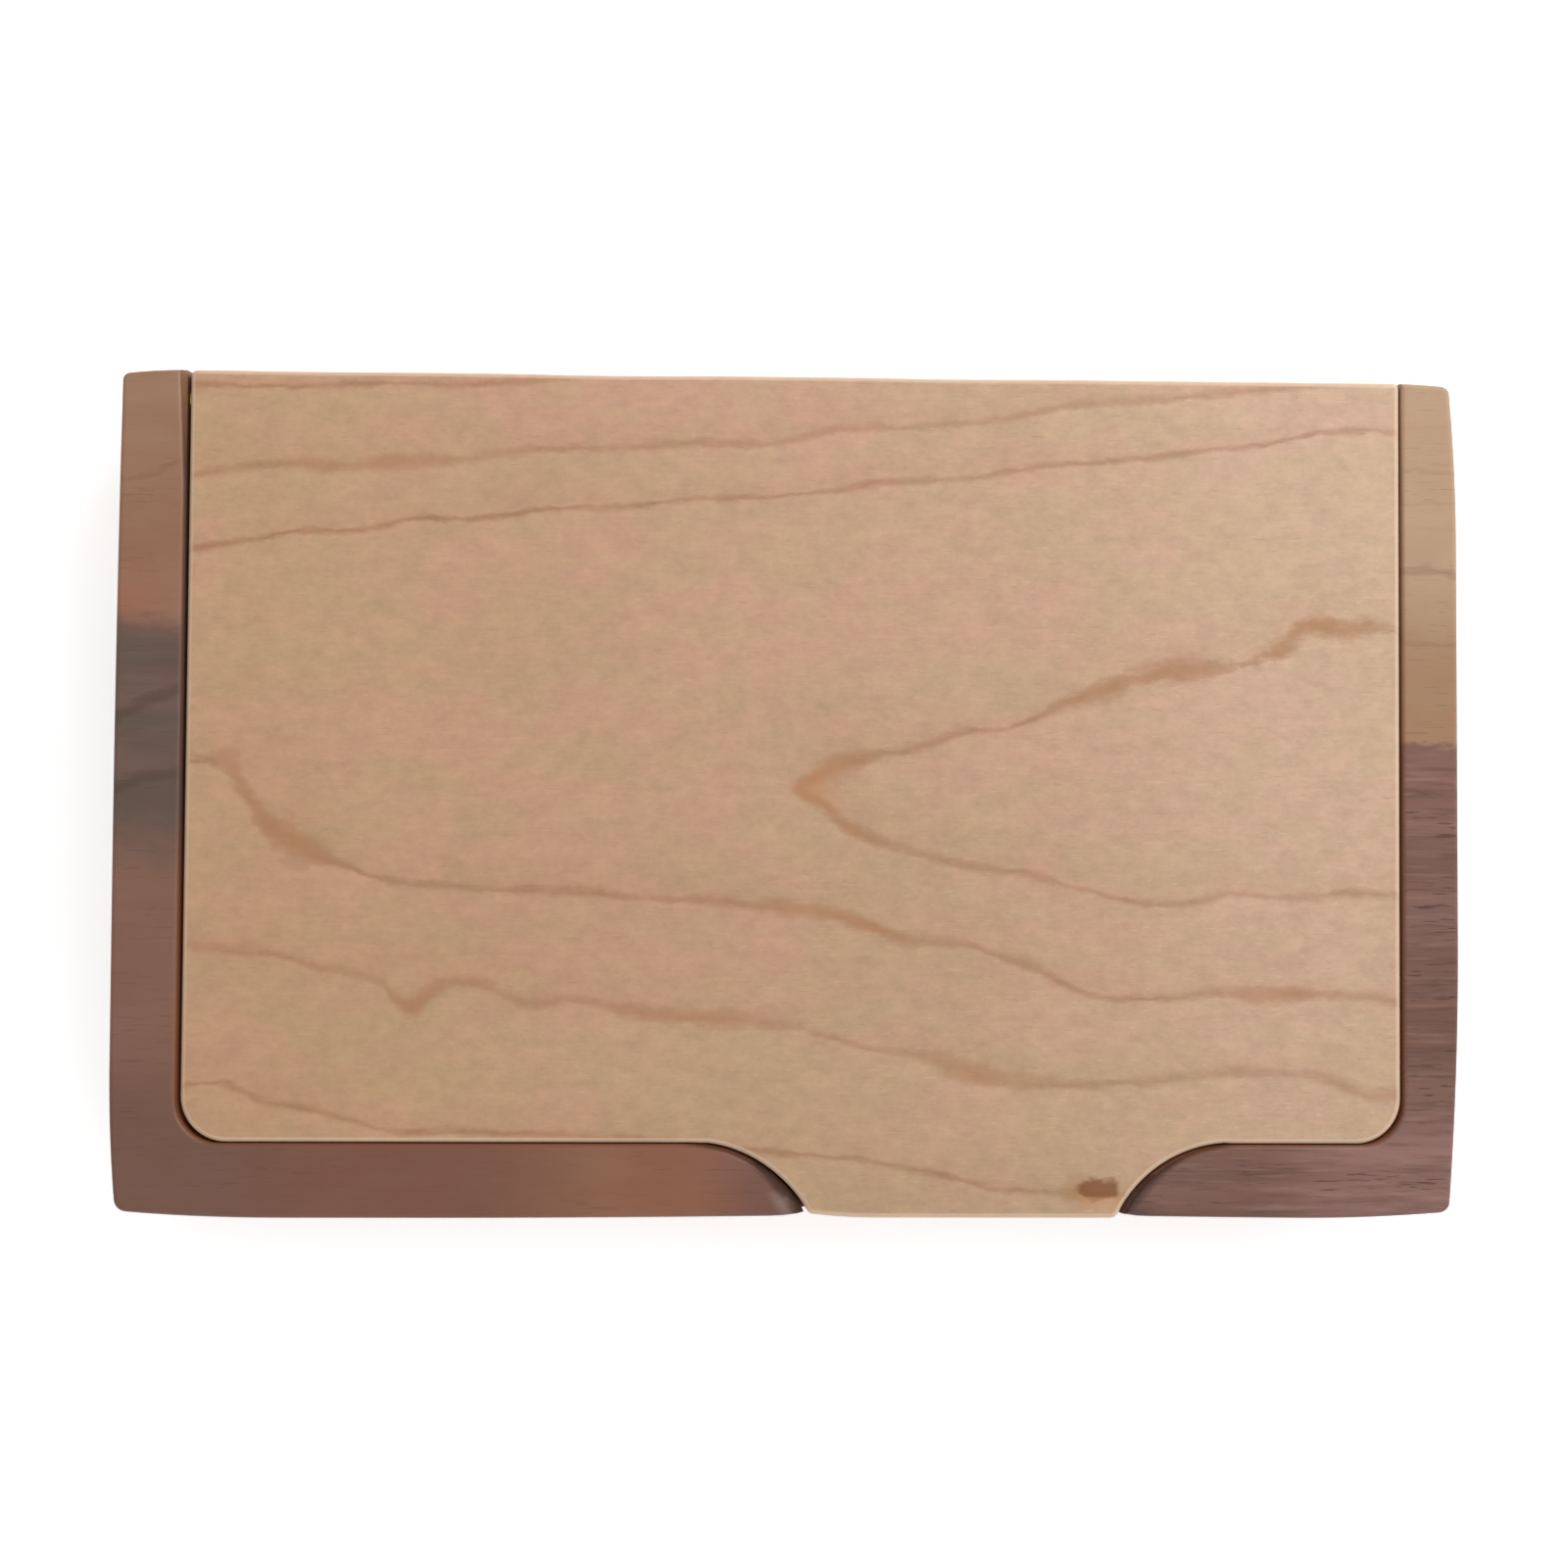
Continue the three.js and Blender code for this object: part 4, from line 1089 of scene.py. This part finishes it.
# The dark knot-fleck at the right of the tongue, blunt on the right and drawn out on the left, with an
# orange-brown halo in front of it.
frayed = maple.cloud(at, (1.1, 0.55, 0.55), shift=4.8, detail=3, rough=0.6)
fray_by = maple.spread(frayed, 0.2, 0.8, -KNOT_ACROSS - KNOT_FRAY, -KNOT_ACROSS + KNOT_FRAY)
knot_across = maple.plus(across, fray_by)
knot_along = maple.minus(along, KNOT_ALONG)
taper = maple.ease(knot_along, -2.1, -0.8, 0.30, 0.80)
knot = maple.times(
    maple.ease(maple.off(knot_across, 0.0), maple.plus(taper, 0.16), maple.times(taper, 0.55)),
    maple.where((knot_along, -2.3, -1.5), (knot_along, 1.45, 0.95)),
)
halo = maple.where(
    (knot_across, 0.2, -0.5),
    (knot_across, -1.75, -1.0),
    (knot_along, -2.2, -1.0),
    (knot_along, 1.9, 1.2),
)
colour = maple.mix(maple.times(halo, 0.55), colour, KNOT_HALO)
colour = maple.mix(maple.times(knot, 0.90), colour, KNOT)
at_end = maple.ease(maple.measure("end_grain"), 0.3, 0.95, 0.0, 0.6)
colour = maple.tint(at_end, colour, MAPLE_END_STAIN)
# The eased edges are sanded finer than the faces, so they shine more, and a paler colour is painted on
# them as a highlight.
on_edge = maple.measure("eased_edge")
colour = maple.mix(maple.ease(on_edge, 0.1, 0.8, 0.0, 0.4), colour, MAPLE_EDGE_HIGHLIGHT)
maple.relief(maple.minus(maple.times(fibres, 0.5), maple.times(darkness, 0.3)), 0.02 * MM, 0.5)
maple.give(
    base_color=colour,
    roughness=maple.minus(maple.spread(mottle, 0.25, 0.75, 0.42, 0.52), maple.times(on_edge, 0.15)),
    specular_ior_level=0.35,
    subsurface_weight=0.2,
    subsurface_radius=(1.2, 0.60, 0.30),
    subsurface_scale=1.0 * MM,
)
mark_surface(lid, end_grain, eased_edge)
maple.put_on(lid)

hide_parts("lid")
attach(lid, "lid")

# The hinge pins. Two short lengths of drawn brass rod with broken edges, driven in through the ends
# of the case. They sit tight in the rails and the lid turns on them.
PIN_RADIUS = 0.8 * MM
PIN_LENGTH = 11.5 * MM
PIN_CHAMFER = 0.15 * MM
PIN_DISH_INSET, PIN_DISH_DEPTH = 0.35 * MM, 0.03 * MM
BRASS, TARNISHED = (0.72, 0.50, 0.20, 1), (0.47, 0.30, 0.12, 1)


def copy_of(piece, name, place):
    """A second one of a piece, on a mesh of its own, set where the first one would be moved to."""
    twin = piece.copy()
    twin.data = piece.data.copy()
    twin.name = name
    twin.data.transform(Matrix.Translation(place))
    scene.collection.objects.link(twin)
    return twin


def middle_of(node):
    low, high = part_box(node)
    return (low + high) / 2


rest_on_nothing()
bpy.ops.mesh.primitive_cylinder_add(
    vertices=64,
    radius=PIN_RADIUS,
    depth=PIN_LENGTH,
    location=middle_of("hinge_pin_left"),
    rotation=(0, math.pi / 2, 0),
)
left_pin = bpy.context.object
left_pin.name = "brass_pin_left"
bpy.ops.object.transform_apply(location=True, rotation=True, scale=True)
bpy.ops.object.mode_set(mode="EDIT")
# The drawn rod was cut with a saw and its ends are dished a little from filing.
take("EDGE", lambda m, e: not lies_along(e, 0))
round_edges(PIN_CHAMFER, 3)
take("FACE", lambda m, f: abs(f.normal.x) > 0.99 and len(f.verts) == 64)
bpy.ops.mesh.inset(thickness=PIN_DISH_INSET, depth=-PIN_DISH_DEPTH)
bpy.ops.object.mode_set(mode="OBJECT")
finish_edges(left_pin, 25)

brass = Finish("drawn_brass")
at = brass.place()
draw_marks = brass.cloud(at, (9, 0.06, 0.06), shift=2.0, detail=3)
tarnish = brass.cloud(at, (1.6, 0.9, 0.9), shift=5.0, detail=3)
colour = brass.mix(brass.ease(tarnish, 0.4, 0.75), BRASS, TARNISHED)
colour = brass.tint(1.0, colour, brass.spread(draw_marks, 0.3, 0.7, 0.92, 1.06))
brass.relief(draw_marks, 0.01 * MM, 0.5)
brass.give(base_color=colour, roughness=brass.ease(tarnish, 0.3, 0.75, 0.22, 0.45), metallic=1.0)
brass.put_on(left_pin)
pins_apart = middle_of("hinge_pin_right") - middle_of("hinge_pin_left")
right_pin = copy_of(left_pin, "brass_pin_right", pins_apart)
for pin, node in ((left_pin, "hinge_pin_left"), (right_pin, "hinge_pin_right")):
    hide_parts(node)
    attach(pin, "case")

# The magnets. Four nickel-plated discs glued into blind sockets, two in the ledge under the tongue and
# two in the tongue, a hair below the wood, so that the pairs pull the lid shut without touching.
MAGNET_RADIUS = 2 * MM
MAGNET_THICKNESS = 2 * MM
MAGNET_CHAMFER = 0.15 * MM
NICKEL, SMEARED = (0.68, 0.67, 0.66, 1), (0.55, 0.54, 0.53, 1)

rest_on_nothing()
bpy.ops.mesh.primitive_cylinder_add(
    vertices=96,
    radius=MAGNET_RADIUS,
    depth=MAGNET_THICKNESS,
    location=middle_of("body_magnet_left"),
)
first_magnet = bpy.context.object
first_magnet.name = "disc_magnet_body_left"
bpy.ops.object.transform_apply(location=True, rotation=True, scale=True)
bpy.ops.object.mode_set(mode="EDIT")
take("EDGE", lambda m, e: not lies_along(e, 2))
round_edges(MAGNET_CHAMFER, 4)
bpy.ops.object.mode_set(mode="OBJECT")
finish_edges(first_magnet, 25)

nickel = Finish("bright_nickel")
at = nickel.place()
smears = nickel.cloud(at, (2.2, 1.4, 1.4), shift=4.0, detail=3, swirl=0.8)
scuffs = nickel.cloud(at, (1.1, 0.05, 0.4), shift=8.0, detail=2)
colour = nickel.mix(nickel.ease(smears, 0.35, 0.7), NICKEL, SMEARED)
scuffed = nickel.ease(scuffs, 0.62, 0.72, 0.0, 0.14)
rough = nickel.plus(nickel.ease(smears, 0.35, 0.7, 0.16, 0.30), scuffed)
nickel.relief(scuffs, 0.004 * MM, 0.4)
nickel.give(base_color=colour, roughness=rough, metallic=1.0)
nickel.put_on(first_magnet)
COPIES = (
    ("disc_magnet_body_right", "body_magnet_right", "case"),
    ("disc_magnet_lid_left", "lid_magnet_left", "lid"),
    ("disc_magnet_lid_right", "lid_magnet_right", "lid"),
)
discs = [(first_magnet, "body_magnet_left", "case")]
for name, node, carrier in COPIES:
    away = middle_of(node) - middle_of("body_magnet_left")
    discs.append((copy_of(first_magnet, name, away), node, carrier))
for disc, node, carrier in discs:
    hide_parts(node)
    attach(disc, carrier)
